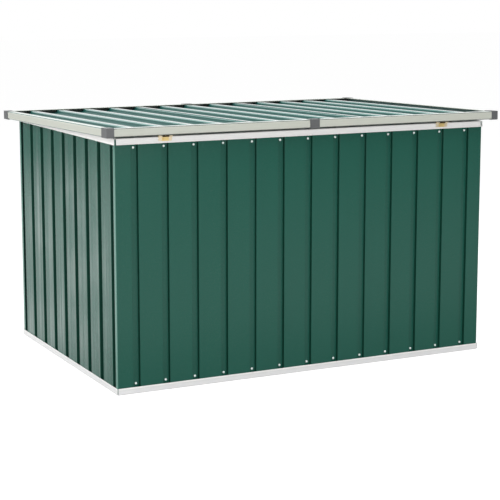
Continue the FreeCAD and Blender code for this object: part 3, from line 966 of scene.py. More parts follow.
# Lighter paint on the lid rails' tops: a painted highlight; the off-white below is made from it.
RAIL_TOP_HIGHLIGHT = Finish("lid_top_painted_highlight", (0.64, 0.69, 0.65), 0.30, drift=0.04, streaks=(0.8, 0.8, 120.0))
LID_CREAM = replace(RAIL_TOP_HIGHLIGHT, name="lid_rail_off_white", colour=(0.485, 0.502, 0.444), coat=0.3)
# Dark paint inside the lid rails' channels: painted shade; the hollow is darker still, painted shade for the
# long rails' deep channels.
RAIL_INSIDE_SHADE = Finish("lid_channel_inside_shade", (0.085, 0.160, 0.150), 0.55, drift=0.2, grain_scale=400.0, bump=0.1)
RAIL_HOLLOW_SHADE = replace(RAIL_INSIDE_SHADE, name="lid_channel_hollow_shade", colour=(0.020, 0.034, 0.030))
CAP_GREY = Finish("cap_grey", (0.102, 0.105, 0.108), 0.36, drift=0.05, grain_scale=1400.0, bump=0.10)
BRASS = Finish(
    "hinge_brass", (0.88, 0.68, 0.30), 0.42, metallic=0.7, drift=0.12, grain_scale=900.0, bump=0.08
)
# Paler brass on the body leaves' lugs: a painted highlight.
LUG_HIGHLIGHT_BRASS = Finish(
    "hinge_lug_painted_highlight", (0.86, 0.74, 0.54), 0.38, metallic=0.5, drift=0.15, grain_scale=900.0, bump=0.08
)
# Near-black brass for the lid leaves, which sit in the lid rail's shade: painted shade.
SHADED_BRASS = Finish(
    "hinge_leaf_painted_shade", (0.06, 0.04, 0.016), 0.5, metallic=0.8, drift=0.2, grain_scale=900.0, bump=0.08
)
ZINC = Finish("post_zinc", (0.58, 0.59, 0.60), 0.42, metallic=1.0, drift=0.14, grain_scale=160.0)
SCREW_WHITE = Finish("screw_white", (0.88, 0.97, 0.94), 0.26, coat=0.5, drift=0.03, grain_scale=1600.0)


@dataclass(frozen=True)
class Finishes:
    """The materials of the box, ready for use."""

    wall: bpy.types.Material
    end_wall: bpy.types.Material
    # corner: the painted highlight on the corner folds
    corner: bpy.types.Material
    # groove: painted shade on the grooves' flanks
    groove: bpy.types.Material
    lid: bpy.types.Material
    # rib: the painted highlight on the rib tops
    rib: bpy.types.Material
    body_rail: bpy.types.Material
    # base_rail: painted shade below the base rails' hems
    base_rail: bpy.types.Material
    lid_rail: bpy.types.Material
    # rail_top: the painted highlight on the lid rails' tops
    rail_top: bpy.types.Material
    # rail_inside_shade and rail_hollow_shade: painted shade inside the lid rails' channels
    rail_inside_shade: bpy.types.Material
    rail_hollow_shade: bpy.types.Material
    plastic: bpy.types.Material
    brass: bpy.types.Material
    # lug_highlight_brass: the painted highlight on the hinge lugs
    lug_highlight_brass: bpy.types.Material
    # shaded_brass: painted shade on the lid leaves
    shaded_brass: bpy.types.Material
    zinc: bpy.types.Material
    screw: bpy.types.Material


def make_finishes() -> Finishes:
    """Builds every material once.

    Returns:
        The finishes.
    """
    groups = Groups(make_drift_group(), make_grain_group())
    greens = (WALL_GREEN, END_GREEN, CORNER_HIGHLIGHT_GREEN, GROOVE_SHADE_GREEN, LID_GREEN, RIB_HIGHLIGHT_GREEN)
    whites = (BODY_WHITE, BASE_SHADE_WHITE, LID_CREAM, RAIL_TOP_HIGHLIGHT, RAIL_INSIDE_SHADE, RAIL_HOLLOW_SHADE)
    metals = (BRASS, LUG_HIGHLIGHT_BRASS, SHADED_BRASS, ZINC, SCREW_WHITE)
    return Finishes(*(finish.material(groups) for finish in (*greens, *whites, CAP_GREY, *metals)))


# Grooved sheets


@dataclass
class GroovedSheets:
    """The folded sheets of the walls and of the lid."""

    plan: BoxPlan
    fold: float = 0.0009
    lid_fold: float = 0.004
    end_wider: float = 0.0025
    corner_fold: float = 0.0018
    corner_return: float = 0.016
    tuck: float = 0.002
    low: float = 0.002
    high: float = 0.834
    lid_edge: float = 0.004
    flank_turn: float = 0.9
    corner_skins: float = 1.5
    crest_turn: float = 0.3
    crest_share: float = 0.72

    def groove(self, middle: float, turn: float = 1.0, wider: float = 0.0) -> list[Point]:
        """The four folds of a whole groove, or of a raised rib.

        Args:
            middle: Place of its middle.
            turn: 1 for a groove, -1 for a rib.
            wider: How much wider it is than the plan says, on each side.

        Returns:
            Points of the outer face.
        """
        floor = self.plan.groove_floor / 2 + wider
        mouth = self.plan.groove_mouth / 2 + wider
        deep = turn * self.plan.groove_depth
        return [(middle - mouth, 0.0), (middle - floor, deep), (middle + floor, deep), (middle + mouth, 0.0)]

    def lap_start(self, middle: float, turn: float, wider: float) -> list[Point]:
        """The strip that lies on the last sheet's groove, and the flank up from it.

        Args:
            middle: Place of the groove's middle.
            turn: 1 for a groove, -1 for a rib.
            wider: How much wider it is than the plan says, on each side.

        Returns:
            The first points of the sheet.
        """
        plan = self.plan
        folds = self.groove(middle, turn, wider)
        deep = turn * plan.groove_depth - plan.sheet_gauge
        start = folds[1][0] + plan.sheet_gauge + plan.lap_play
        return [(start, deep), (folds[2][0], deep), folds[3]]

    def lap_end(self, middle: float, turn: float, wider: float) -> list[Point]:
        """A sheet's last groove, which stops short of its far flank.

        Args:
            middle: Place of the groove's middle.
            turn: 1 for a groove, -1 for a rib.
            wider: How much wider it is than the plan says, on each side.

        Returns:
            The last points of the sheet.
        """
        plan = self.plan
        folds = self.groove(middle, turn, wider)
        stop = folds[2][0] - plan.sheet_gauge - plan.lap_play
        return folds[:2] + [(stop, turn * plan.groove_depth)]

    def lines(
        self,
        stations: Sequence[float],
        count: int,
        ends: Sequence[list[Point]],
        turn: float,
        wider: float = 0.0,
    ) -> list[list[Point]]:
        """The outer lines of the lapped sheets of one row.

        Args:
            stations: Middles of the grooves or ribs.
            count: Number of sheets.
            ends: Points that take the place of the first and of the last groove.
            turn: 1 for grooves, -1 for ribs.
            wider: How much wider the grooves are than the plan says, on each side.

        Returns:
            One list of points for each sheet.
        """
        pitches = (len(stations) - 1) // count
        first, last = ends
        made = []
        for part in range(count):
            begin = part * pitches
            end = begin + pitches
            line = first if part == 0 else self.lap_start(stations[begin], turn, wider)
            for middle in stations[begin + 1 : end]:
                line = line + self.groove(middle, turn, wider)
            line = line + (last if part == count - 1 else self.lap_end(stations[end], turn, wider))
            made.append(line)
        return made

    def wall_ends(self, wall: WallPlan) -> tuple[list[Point], list[Point]]:
        """The ends of a wall's row: folded round the corner on a long wall, tucked in on an end wall.

        Args:
            wall: The wall.

        Returns:
            The first and the last points of the row.
        """
        stations = wall.stations()
        deep = self.plan.groove_depth
        if wall.is_long:
            first = [(-wall.half, self.corner_return), (-wall.half, 0.0)] + self.groove(stations[0])
            last = self.groove(stations[-1]) + [(wall.half, 0.0), (wall.half, self.corner_return)]
        else:
            first = [(self.tuck - wall.half, deep)] + self.groove(stations[0], wider=self.end_wider)[2:]
            last = self.groove(stations[-1], wider=self.end_wider)[:2] + [(wall.half - self.tuck, deep)]
        return first, last

    def build_wall(self, wall: WallPlan, finishes: Finishes) -> None:
        """Folds the sheets of one wall and sets them in place.

        Args:
            wall: The wall.
            finishes: The materials.
        """
        wider = 0.0 if wall.is_long else self.end_wider
        green = finishes.wall if wall.is_long else finishes.end_wall
        rows = self.lines(wall.stations(), len(wall.sheets), self.wall_ends(wall), 1.0, wider)
        # Groove flanks take a darker green as painted shade
        flank_shade = (finishes.groove, lambda face: self.is_shaded_flank(face, wall))
        # Corner folds take a lighter green as a painted highlight
        corner = (finishes.corner, lambda face: self.is_corner_highlight(face, wall))
        for sheet, line in zip(wall.sheets, rows):
            name = f"folded_{wall.side.value}_{sheet}"
            folds = [point for point in line if abs(point[0]) == wall.half and point[1] == 0.0]
            rounder = (self.corner_fold, folds)
            piece = fold_strip(name, line, (self.low, self.high), self.plan.sheet_gauge, self.fold, rounder)
            paint(piece, green, flank_shade, corner)
            node = f"{wall.side.value}_sheet_{sheet}"
            install(piece, wall.sheet_frame(), Body.BOX, green, node)

    def is_shaded_flank(self, face: bmesh.types.BMFace, wall: WallPlan) -> bool:
        """Whether a face of a wall's sheet is a groove's flank, where a darker, duller green is painted
        shade.
        """
        is_inner = abs(face.calc_center_median().x) < wall.half - self.corner_return
        return is_inner and abs(face.normal.x) > self.flank_turn

    def is_corner_highlight(self, face: bmesh.types.BMFace, wall: WallPlan) -> bool:
        """Whether a face of a wall's sheet is folded round the corner, where a lighter green is a painted
        highlight.
        """
        return abs(face.calc_center_median().x) > wall.half - self.corner_skins * self.plan.sheet_gauge

    def is_crest_highlight(self, face: bmesh.types.BMFace) -> bool:
        """Whether a face of a lid sheet is the top of a rib, where a lighter, glossier green is a painted
        highlight.
        """
        is_high = face.calc_center_median().y < -self.crest_share * self.plan.groove_depth
        return is_high and face.normal.y < -self.crest_turn

    def build_lid(self, wall: WallPlan, finishes: Finishes) -> None:
        """Folds the lid's sheets, whose ribs are in line with the long walls' grooves.

        Args:
            wall: The hinged wall.
            finishes: The materials.
        """
        plan = self.plan
        stations = wall.stations()
        side = plan.lid_half - self.lid_edge
        first = [(-side, 0.0)] + self.groove(stations[0], -1.0)
        last = self.groove(stations[-1], -1.0) + [(side, 0.0)]
        rows = self.lines(stations, len(wall.sheets), (first, last), -1.0)
        lay_flat = Matrix.Rotation(-math.pi / 2, 4, "X")
        raise_up = Matrix.Translation((0.0, 0.0, plan.lid_seat + plan.sheet_gauge))
        place = plan.lid_frame() @ raise_up @ lay_flat
        ends = (plan.lid_front + self.lid_edge, plan.lid_back - self.lid_edge)
        for sheet, line in zip(wall.sheets, rows):
            piece = fold_strip(f"folded_lid_{sheet}", line, ends, plan.sheet_gauge, self.lid_fold)
            # Rib tops take a lighter green as a painted highlight
            paint(piece, finishes.lid, (finishes.rib, self.is_crest_highlight))
            install(piece, place, Body.LID, finishes.lid, f"lid_sheet_{sheet}")


# Channel rails and corner posts of the body


@dataclass
class BodyRails:
    """The channels that hold the wall sheets, and the posts between them."""

    plan: BoxPlan
    base_lip: float = 0.022
    base_leg: float = 0.042
    top_lip: float = 0.021
    top_leg: float = 0.044
    fold: float = 0.003
    hem: float = 0.0045
    hem_step: float = 0.0006
    top_gap: float = 0.005
    base_gap: float = 0.0012
    mitre_spare: float = 0.004
    post_leg: float = 0.040
    post_wall: float = 0.0015
    post_high: float = 0.834

    @property
    def inner(self) -> float:
        """Depth of a rail's inner face below the wall's outer plane."""
        return self.plan.channel_depth + self.plan.rail_wall

    def section(self, ring: Ring) -> list[Point]:
        """A rail's outer line, with the outer face on the right: inner leg, closed edge, lip and hem.

        Args:
            ring: The base rails open upwards, and the top rails downwards.

        Returns:
            Points as (depth, height) pairs.
        """
        is_base = ring is Ring.BASE
        up = 1.0 if is_base else -1.0
        edge = 0.0 if is_base else self.plan.height
        lip = self.base_lip if is_base else self.top_lip
        leg = self.base_leg if is_base else self.top_leg
        face = -self.plan.rail_face
        line = [
            (self.inner, edge + up * leg),
            (self.inner, edge),
            (face, edge),
            (face, edge + up * (lip - self.hem)),
            (face - self.hem_step, edge + up * (lip - self.hem + self.hem_step)),
            (face - self.hem_step, edge + up * lip),
        ]
        return line[::-1] if is_base else line

    def mitre(self, piece: bpy.types.Object, wall: WallPlan) -> None:
        """Cuts both ends of a rail at 45 degrees.

        Args:
            piece: The rail, drawn in its wall's rail frame.
            wall: The wall.
        """
        for corner in (-1.0, 1.0):
            with editing(piece):
                place = (0.0, 0.0, corner * wall.half)
                cut_across(place, (1.0, 0.0, corner), use_fill=True, clear_outer=True, threshold=NEAR / 10)

    def cut_lip(self, strip: bpy.types.Object, stop: float) -> None:
        """Cuts a rail's lip back from both corners.

        Args:
            strip: The rail's open strip, in edit mode.
            stop: How far from its middle the lip ends.
        """
        for place in (-stop, stop):
            cut_across((0.0, 0.0, place), UP)

        def is_waste(face: bmesh.types.BMFace) -> bool:
            """Whether a face is the lip's end at a corner."""
            middle = face.calc_center_median()
            return middle.x < 0.0 and abs(middle.z) > stop

        pick(strip, Pick.FACES, is_waste)
        bpy.ops.mesh.delete(type="FACE")

    def is_shaded_below_hem(self, face: bmesh.types.BMFace) -> bool:
        """Whether a face of a base rail lies below its lip's hem; these faces are painted greyer as painted
        shade, leaving the hem lighter.
        """
        middle = face.calc_center_median()
        return middle.x > 0.0 or middle.y < self.base_lip - self.hem

    def build_rail(self, wall: WallPlan, ring: Ring, finishes: Finishes) -> None:
        """Folds one rail, mitres its ends and sets it in place.

        Args:
            wall: The wall that it holds.
            ring: The ring that it belongs to.
            finishes: The materials.
        """
        over = wall.half + self.plan.rail_face + self.mitre_spare
        stop = wall.half - (self.base_gap if ring is Ring.BASE else self.top_gap)
        trim = (lambda strip: self.cut_lip(strip, stop)) if wall.side is Side.HINGE else None
        name = f"{ring.value}_channel_{wall.side.value}"
        line = self.section(ring)
        piece = fold_strip(name, line, (-over, over), self.plan.rail_wall, self.fold, trim=trim)
        self.mitre(piece, wall)
        close_mesh(piece)
        if ring is Ring.BASE:
            # Below the hem, a greyer white as painted shade
            paint(piece, finishes.body_rail, (finishes.base_rail, self.is_shaded_below_hem))
        node = f"{ring.value}_rail_{wall.side.value}"
        install(piece, wall.rail_frame(), Body.BOX, finishes.body_rail, node)

    def build_post(self, near: WallPlan, far: WallPlan, finishes: Finishes) -> None:
        """Folds the angle in the corner where one wall ends and the next begins.

        Args:
            near: The wall that ends in the corner.
            far: The wall that begins there.
            finishes: The materials.
        """
        corner = near.half - self.inner
        line = [
            (corner - self.post_leg, self.inner),
            (corner, self.inner),
            (corner, self.inner + self.post_leg),
        ]
        long_wall, end_wall = (near, far) if near.is_long else (far, near)
        node = f"corner_post_{long_wall.side.value.removesuffix('_side')}_{end_wall.side.value}"
        piece = fold_strip(f"angle_{node}", line, (0.0, self.post_high), self.post_wall, self.fold)
        install(piece, near.sheet_frame(), Body.BOX, finishes.zinc, node)

    def build(self, walls: Sequence[WallPlan], finishes: Finishes) -> None:
        """Builds both rings of rails and the four posts.

        Args:
            walls: The four walls.
            finishes: The materials.
        """
        for wall in walls:
            for ring in Ring:
                self.build_rail(wall, ring, finishes)
        for near, far in zip(walls, walls[1:] + walls[:1]):
            self.build_post(near, far, finishes)


# Screws


@dataclass(frozen=True)
class Screw:
    """A domed screw with a cross recess and a pointed, threaded shank."""

    head_radius: float
    head_height: float
    shank_radius: float
    length: float
    rings: int
    facets: int = 20
    dome_share: float = 0.62
    rim_share: float = 0.12
    recess_reach: float = 0.55
    recess_waist: float = 0.34
    recess_depth: float = 0.45
    recess_taper: float = 0.7
    between_arms: Point = (25.0, 65.0)
    core_share: float = 0.86
    thread_rise: float = 1.16
    threaded_share: float = 0.7
    tip_share: float = 0.3

    def pattern(self, name: str) -> bpy.types.Object:
        """Models the screw on its seat, with its head towards +Z.

        Args:
            name: The pattern's name.

        Returns:
            The screw.
        """
        clear_selection()
        bpy.ops.mesh.primitive_cylinder_add(
            vertices=self.facets,
            radius=self.head_radius,
            depth=self.head_height,
            location=(0.0, 0.0, self.head_height / 2),
        )
        piece = begun_as(name)
        with editing(piece):
            self.shape_head(piece)
            self.shape_shank(piece)
        smooth(piece, angle=40.0)
        return piece

    def shape_head(self, piece: bpy.types.Object) -> None:
        """Rounds the head and sinks the cross recess.

        Args:
            piece: The screw's cylinder, in edit mode.
        """
        crown = self.head_height - NEAR
        pick(piece, Pick.EDGES, lambda edge: all(vert.co.z > crown for vert in edge.verts))
        round_off(self.head_height * self.dome_share, segments=4)
        pick(piece, Pick.FACES, lambda face: face.normal.z > SQUARE_ON)
        bpy.ops.mesh.inset(thickness=self.head_radius * self.rim_share)
        pick(piece, Pick.VERTS, lambda vert: vert.co.z > crown and self.is_between_arms(vert.co))
        scale_round(self.recess_waist)
        pick(piece, Pick.FACES, self.is_recess)
        extrude_by((0.0, 0.0, -self.head_height * self.recess_depth))
        scale_round(self.recess_taper)

    def is_between_arms(self, place: Vector) -> bool:
        """Whether a point of the inner rim lies between two arms of the cross.

        Args:
            place: The point.

        Returns:
            Whether it is drawn in towards the middle.
        """
        low, high = self.between_arms
        quarter = math.degrees(math.atan2(place.y, place.x)) % 90.0
        return place.xy.length < self.head_radius * self.recess_reach and low < quarter < high

    def is_recess(self, face: bmesh.types.BMFace) -> bool:
        """Whether a face is the cross in the middle of the head."""
        return face.normal.z > SQUARE_ON and face.calc_center_median().xy.length < 10 * NEAR

    def shape_shank(self, piece: bpy.types.Object) -> None:
        """Draws the shank from the seat, with thread rings and a point.

        Args:
            piece: The screw's head, in edit mode.
        """
        pick(piece, Pick.FACES, lambda face: face.normal.z < -SQUARE_ON)
        bpy.ops.mesh.inset(thickness=self.head_radius - self.shank_radius * self.core_share)
        half_pitch = self.length * self.threaded_share / self.rings / 2
        for _ in range(self.rings):
            for rise in (self.thread_rise, 1 / self.thread_rise):
                extrude_by((0.0, 0.0, -half_pitch))
                scale_round(rise)
        extrude_by((0.0, 0.0, -self.length * (1.0 - self.threaded_share)))
        scale_round(self.tip_share)


WALL_SCREW = Screw(head_radius=0.0040, head_height=0.0026, shank_radius=0.002, length=0.012, rings=6)
LEAF_SCREW = Screw(
    head_radius=0.0026, head_height=0.001, shank_radius=0.0015, length=0.007, rings=4, facets=16
)


@dataclass
class WallScrews:
    """The rows of screws at the top and bottom of every groove."""

    plan: BoxPlan
    screw: Screw = WALL_SCREW
    groove_turn: float = 0.7
    row_turn: float = 1.9

    def build(self, walls: Sequence[WallPlan], finishes: Finishes) -> None:
        """Models one screw and copies it to each wall's places.

        Args:
            walls: The four walls.
            finishes: The materials.
        """
        plan = self.plan
        pattern = self.screw.pattern("wall_screw_pattern")
        for wall in walls:
            places = []
            for index, along in enumerate(wall.stations()):
                depth = plan.groove_depth - (plan.sheet_gauge if wall.is_lapped(index) else 0.0)
                for row, height in enumerate((plan.low_screw_z, plan.high_screw_z)):
                    turn = Matrix.Rotation(self.groove_turn * index + self.row_turn * row, 4, "Z")
                    places.append(wall.screw_frame(along, depth, height) @ turn)
            piece = copies_as(f"screw_row_{wall.side.value}", pattern, places)
            fit(piece, Body.BOX, finishes.screw, f"wall_screws_{wall.side.value}")
        scrap(pattern)


# Hinges


@dataclass
class Hinges:
    """Two butt hinges: body leaves, lid leaves, pins and their screws."""

    plan: BoxPlan
    length: float = 0.048
    lid_knuckle: float = 0.024
    knuckle_play: float = 0.0003
    knuckle_ease: float = 0.0005
    gauge: float = 0.0015
    plate_ease: float = 0.0003
    body_drop: float = 0.017
    lid_reach: float = 0.027
    corner: float = 0.004
    pin_radius: float = 0.002
    pin_ease: float = 0.0002
    pin_head: float = 0.0028
    pin_head_height: float = 0.001
    pin_head_ease: float = 0.0004
    screw_spacing: float = 0.014
    body_screw_drop: float = 0.011
    lid_screw_reach: float = 0.018
    screw_turn: float = 40.0
    facets: int = 32
    screw: Screw = LEAF_SCREW

    def barrel(self, name: str, radius: float, ends: Point, ease: float) -> bpy.types.Object:
        """A turned length about the hinge axis, with eased rims.

        Args:
            name: Its name.
            radius: Its radius.
            ends: Where it starts and ends along X.
            ease: Width of the rounding at its rims.

        Returns:
            The turned part, on the axis through the origin.
        """
        low, high = ends
        clear_selection()
        bpy.ops.mesh.primitive_cylinder_add(
            vertices=self.facets,
            radius=radius,
            depth=high - low,
            location=((low + high) / 2, 0.0, 0.0),
            rotation=(0.0, math.pi / 2, 0.0),
        )
        part = begun_as(name)
        with editing(part):
            pick(part, Pick.EDGES, lambda edge: abs(edge.verts[0].co.x - edge.verts[1].co.x) < NEAR)
            round_off(ease, segments=3)
        return part

    def plate(self, name: str, reach: float, tongues: tuple[bool, bool, bool]) -> bpy.types.Object:
        """A leaf's plate in its own plane: X along the hinge, Y from the axis, Z out of its face.

        Args:
            name: Its name.
            reach: How far it reaches from the axis.
            tongues: Which of its three knuckle places run up to the axis.

        Returns:
            The plate, with its face at Z 0 and its metal below.
        """
        half = self.length / 2
        split = (self.lid_knuckle + self.knuckle_play) / 2
        root = self.plan.barrel_radius + self.knuckle_play
        bands = ((-half, -split), (-split, split), (split, half))
        wanted = [band for band, is_used in zip(bands, tongues) if is_used]

        def is_root(edge: bmesh.types.BMEdge) -> bool:
            """Whether an edge is the root of a wanted tongue."""
            middle = (edge.verts[0].co + edge.verts[1].co) / 2
            return middle.y > -root - NEAR and any(low < middle.x < high for low, high in wanted)

        clear_selection()
        bpy.ops.mesh.primitive_plane_add(size=1.0, location=(0.0, -(reach + root) / 2, 0.0))
        part = begun_as(name, (self.length, reach - root, 1.0))
        with editing(part):
            pick(part, Pick.VERTS, lambda vert: vert.co.y < NEAR - reach)
            round_off(self.corner, segments=4, affect="VERTICES")
            for place in (-split, split):
                cut_across((place, 0.0, 0.0), TO_RIGHT)
            pick(part, Pick.EDGES, is_root)
            extrude_by((0.0, root, 0.0))
        thicken(part, self.gauge)
        ease_edges(part, self.plate_ease)
        return part

    def is_lug_highlight(self, face: bmesh.types.BMFace) -> bool:
        """Whether a face of a body leaf is part of a lug beside the lid's knuckle, painted paler as a
        painted highlight.
        """
        return abs(face.calc_center_median().x) > self.lid_knuckle / 2

    def build_body_leaf(self, end: End, axis: Matrix, finishes: Finishes) -> None:
        """The leaf on the body: a plate down the rail's face and the two end knuckles.

        Args:
            end: The end of the box that the hinge is nearer to.
            axis: The frame of the hinge's middle on the body.
            finishes: The materials.
        """
        half = self.length / 2
        split = self.lid_knuckle / 2 + self.knuckle_play
        plate = self.plate("body_leaf_plate", self.body_drop, (True, False, True))
        apply_place(plate, framed(TO_RIGHT, UP, TO_FRONT, (0.0, self.plan.barrel_radius - self.gauge, 0.0)))
        knuckles = [
            self.barrel("body_knuckle", self.plan.barrel_radius, ends, self.knuckle_ease)
            for ends in ((-half, -split), (split, half))
        ]
        piece = join_as(f"body_leaf_{end.value}", [plate, *knuckles])
        # The lugs take paler brass as a painted highlight
        paint(piece, finishes.brass, (finishes.lug_highlight_brass, self.is_lug_highlight))
        install(piece, axis, Body.BOX, finishes.brass, f"hinge_body_leaf_{end.value}")

    def build_lid_leaf(self, end: End, axis: Matrix, finishes: Finishes) -> None:
        """The leaf under the lid rail, all in near-black brass as painted shade: a flat plate and the middle
        knuckle.

        Args:
            end: The end of the box that the hinge is nearer to.
            axis: The frame of the hinge's middle on the lid.
            finishes: The materials.
        """
        half = self.lid_knuckle / 2
        plate = self.plate("lid_leaf_plate", self.lid_reach, (False, True, False))
        apply_place(plate, Matrix.Translation((0.0, 0.0, self.plan.lid_under)))
        knuckle = self.barrel("lid_knuckle", self.plan.barrel_radius, (-half, half), self.knuckle_ease)
        piece = join_as(f"lid_leaf_{end.value}", [plate, knuckle])
        # The whole lid leaf in near-black brass: painted shade
        install(piece, axis, Body.LID, finishes.shaded_brass, f"hinge_lid_leaf_{end.value}")

    def build_pin(self, end: End, axis: Matrix, finishes: Finishes) -> None:
        """The pin, with a rounded head at each end.

        Args:
            end: The end of the box that the hinge is nearer to.
            axis: The frame of the hinge's middle on the body.
            finishes: The materials.
        """
        half = self.length / 2
        over = half + self.pin_head_height
        shaft = self.barrel("pin_shaft", self.pin_radius, (-half, half), self.pin_ease)
        heads = [
            self.barrel("pin_head", self.pin_head, ends, self.pin_head_ease)
            for ends in ((-over, -half), (half, over))
        ]
        piece = join_as(f"pin_{end.value}", [shaft, *heads])
        install(piece, axis, Body.BOX, finishes.brass, f"hinge_pin_{end.value}")

    def build(self, finishes: Finishes) -> None:
        """Builds both hinges and both groups of screws.

        Args:
            finishes: The materials.
        """
        plan = self.plan
        lid = plan.lid_frame()
        face_y = plan.axis_y + plan.barrel_radius - self.gauge
        pattern = self.screw.pattern("hinge_screw_pattern")
        body_places = []
        lid_places = []
        for end in End:
            middle = end.out * plan.hinge_x
            axis = Matrix.Translation((middle, plan.axis_y, plan.axis_z))
            self.build_body_leaf(end, axis, finishes)
            self.build_lid_leaf(end, lid @ Matrix.Translation((middle, 0.0, 0.0)), finishes)
            self.build_pin(end, axis, finishes)
            for along in (middle - self.screw_spacing / 2, middle + self.screw_spacing / 2):
                turn = Matrix.Rotation(self.screw_turn * along, 4, "Z")
                on_body = (along, face_y, plan.axis_z - self.body_screw_drop)
                on_lid = (along, -self.lid_screw_reach, plan.lid_under - self.gauge)
                body_places.append(framed(TO_RIGHT, UP, TO_FRONT, on_body) @ turn)
                lid_places.append(lid @ framed(TO_RIGHT, TO_FRONT, DOWN, on_lid) @ turn)
        for body, leaf, places in ((Body.BOX, "body", body_places), (Body.LID, "lid", lid_places)):
            piece = copies_as(f"leaf_screws_{leaf}", pattern, places)
            fit(piece, body, finishes.brass, f"hinge_screws_{leaf}")
        scrap(pattern)


# Lid frame


def spans(x_ends: Point, y_ends: Point) -> tuple[Point, Point]:
    """The lower and upper corners of a rectangle given by two pairs of ends in any order."""
    return (min(x_ends), min(y_ends)), (max(x_ends), max(y_ends))


@dataclass
class LidFrame:
    """The lid's rails, plastic corners and joiners."""

    plan: BoxPlan
    wall: float = 0.0015
    skin: float = 0.0009
    shelf: float = 0.012
    fold: float = 0.005
    top_turn: float = 0.8
    cap_long_leg: float = 0.026
    cap_side_leg: float = 0.045
    cap_key_ease: float = 0.0008
    sleeve_round: float = 0.0016
    key_play: float = 0.0004
    key_reach: float = 0.030
    key_width: float = 0.014
    joiner_length: float = 0.036
    joiner_rib: float = 0.003
    joiner_key_ease: float = 0.0006

    @property
    def key_root(self) -> float:
        """How far the keys inside the rails stand back from the lid's edge."""
        return self.plan.cap_wall + self.wall + self.key_play

    def is_top_highlight(self, face: bmesh.types.BMFace) -> bool:
        """Whether a face of a lid rail is part of its top, which is painted lighter as a painted highlight.
        """
        return face.normal.y > self.top_turn and face.calc_center_median().y > self.plan.lid_top - self.fold

    def is_shaded_inside(self, face: bmesh.types.BMFace) -> bool:
        """Whether a face of a lid rail lies inside its channel, which is painted dark as painted shade.

        Args:
            face: The face, in the rail's own frame.

        Returns:
            Whether it is one of the inner faces painted dark as painted shade.
        """
        middle = face.calc_center_median()
        is_deep = self.skin < middle.x < self.plan.lid_flange - self.skin
        return is_deep and self.plan.lid_under + self.skin < middle.y < self.plan.lid_top - self.skin

    def build_rail(
        self,
        label: str,
        ends: Sequence[float],
        place: Matrix,
        inside: bpy.types.Material,
        finishes: Finishes,
    ) -> None:
        """Folds a lid rail's channel, adds its shelf and sets it in place.

        Args:
            label: The last part of its name.
            ends: Where it starts and ends.
            place: Its frame on the lid: X inwards from its face, Y up, Z along it.
            inside: The dark material on the inside of its channel, painted shade.
            finishes: The other materials.
        """
        plan = self.plan
        name = f"lid_channel_{label}"
        channel_line = [
            (plan.lid_flange, plan.lid_top),
            (0.0, plan.lid_top),
            (0.0, plan.lid_under),
            (plan.lid_flange, plan.lid_under),
        ]
        shelf_line = [(self.shelf, plan.lid_seat), (self.wall / 2, plan.lid_seat)]
        channel = fold_strip(name, channel_line, ends, self.wall, self.fold)
        shelf = fold_strip(f"{name}_shelf", shelf_line, ends, self.wall, 0.0)
        piece = join_as(name, [channel, shelf])
        # Inside faces get the given painted shade, the top a painted highlight
        paint(piece, finishes.lid_rail, (inside, self.is_shaded_inside), (finishes.rail_top, self.is_top_highlight))
        install(piece, plan.lid_frame() @ place, Body.LID, finishes.lid_rail, f"lid_rail_{label}")

    def build_rails(self, finishes: Finishes) -> None:
        """Builds the four half rails of the long sides and the two end rails.

        Args:
            finishes: The materials.
        """
        plan = self.plan
        gap = self.joiner_rib / 2 + self.key_play
        stop = plan.lid_half - plan.cap_wall - plan.lid_flange
        for side in LidSide:
            face = plan.lid_edge(side) - side.out * plan.cap_wall
            place = framed((0, -side.out, 0), UP, (-side.out, 0, 0), (0.0, face, 0.0))
            for end in End:
                run = -side.out * end.out
                ends = sorted((run * gap, run * stop))
                # Long rails: a near-black inside as painted shade
                self.build_rail(f"{side.value}_{end.value}", ends, place, finishes.rail_hollow_shade, finishes)
        face = plan.lid_half - plan.cap_wall
        front = plan.lid_front + plan.cap_wall
        back = plan.lid_back - plan.cap_wall
        for end in End:
            place = framed((-end.out, 0, 0), UP, (0, end.out, 0), (end.out * face, 0.0, 0.0))
            ends = sorted((end.out * front, end.out * back))
            # End rails: a dark teal inside as painted shade
            self.build_rail(end.value, ends, place, finishes.rail_inside_shade, finishes)

    def sleeve(self, name: str, outline: tuple[Point, Point], open_to: Sequence[Place]) -> bpy.types.Object:
        """A plastic sleeve round the rails: a block opened on some sides and hollowed to its wall.

        Args:
            name: Its name.
            outline: Its lower and upper corners, as seen from above.
            open_to: Directions of the sides that are left open.

        Returns:
            The sleeve.
        """
        wall = self.plan.cap_wall
        low, high = outline

        def is_shut(face: bmesh.types.BMFace) -> bool:
            """Whether the sleeve keeps a face."""
            return all(face.normal.dot(Vector(way)) < SQUARE_ON for way in open_to)

        part = box_part(name, (*low, self.plan.lid_under - wall), (*high, self.plan.lid_top + wall))
        with editing(part):
            pick(part, Pick.EDGES, lambda edge: all(is_shut(face) for face in edge.link_faces))
            round_off(self.sleeve_round, segments=4)
            pick(part, Pick.FACES, lambda face: not is_shut(face))
            bpy.ops.mesh.delete(type="FACE")
        thicken(part, wall)
        return part

    def build_moulding(
        self, sleeve: bpy.types.Object, keys: Sequence[tuple[Point, Point]], ease: float, finishes: Finishes
    ) -> None:
        """Joins a sleeve with its keys, which lie inside the rails, and sets it in place.

        Args:
            sleeve: The sleeve, named as its node is but for the first word.
            keys: Lower and upper corners of each key, as seen from above.
            ease: Width of the rounding along the keys' edges.
            finishes: The materials.
        """
        plan = self.plan
        name = sleeve.name
        under = plan.lid_under + self.wall + self.key_play
        over = plan.lid_seat - self.wall - self.key_play
        parts = [box_part(f"{name}_key", (*low, under), (*high, over)) for low, high in keys]
        for part in parts:
            ease_edges(part, ease)
        piece = join_as(name, [sleeve, *parts])
        install(piece, plan.lid_frame(), Body.LID, finishes.plastic, f"lid_{name}")

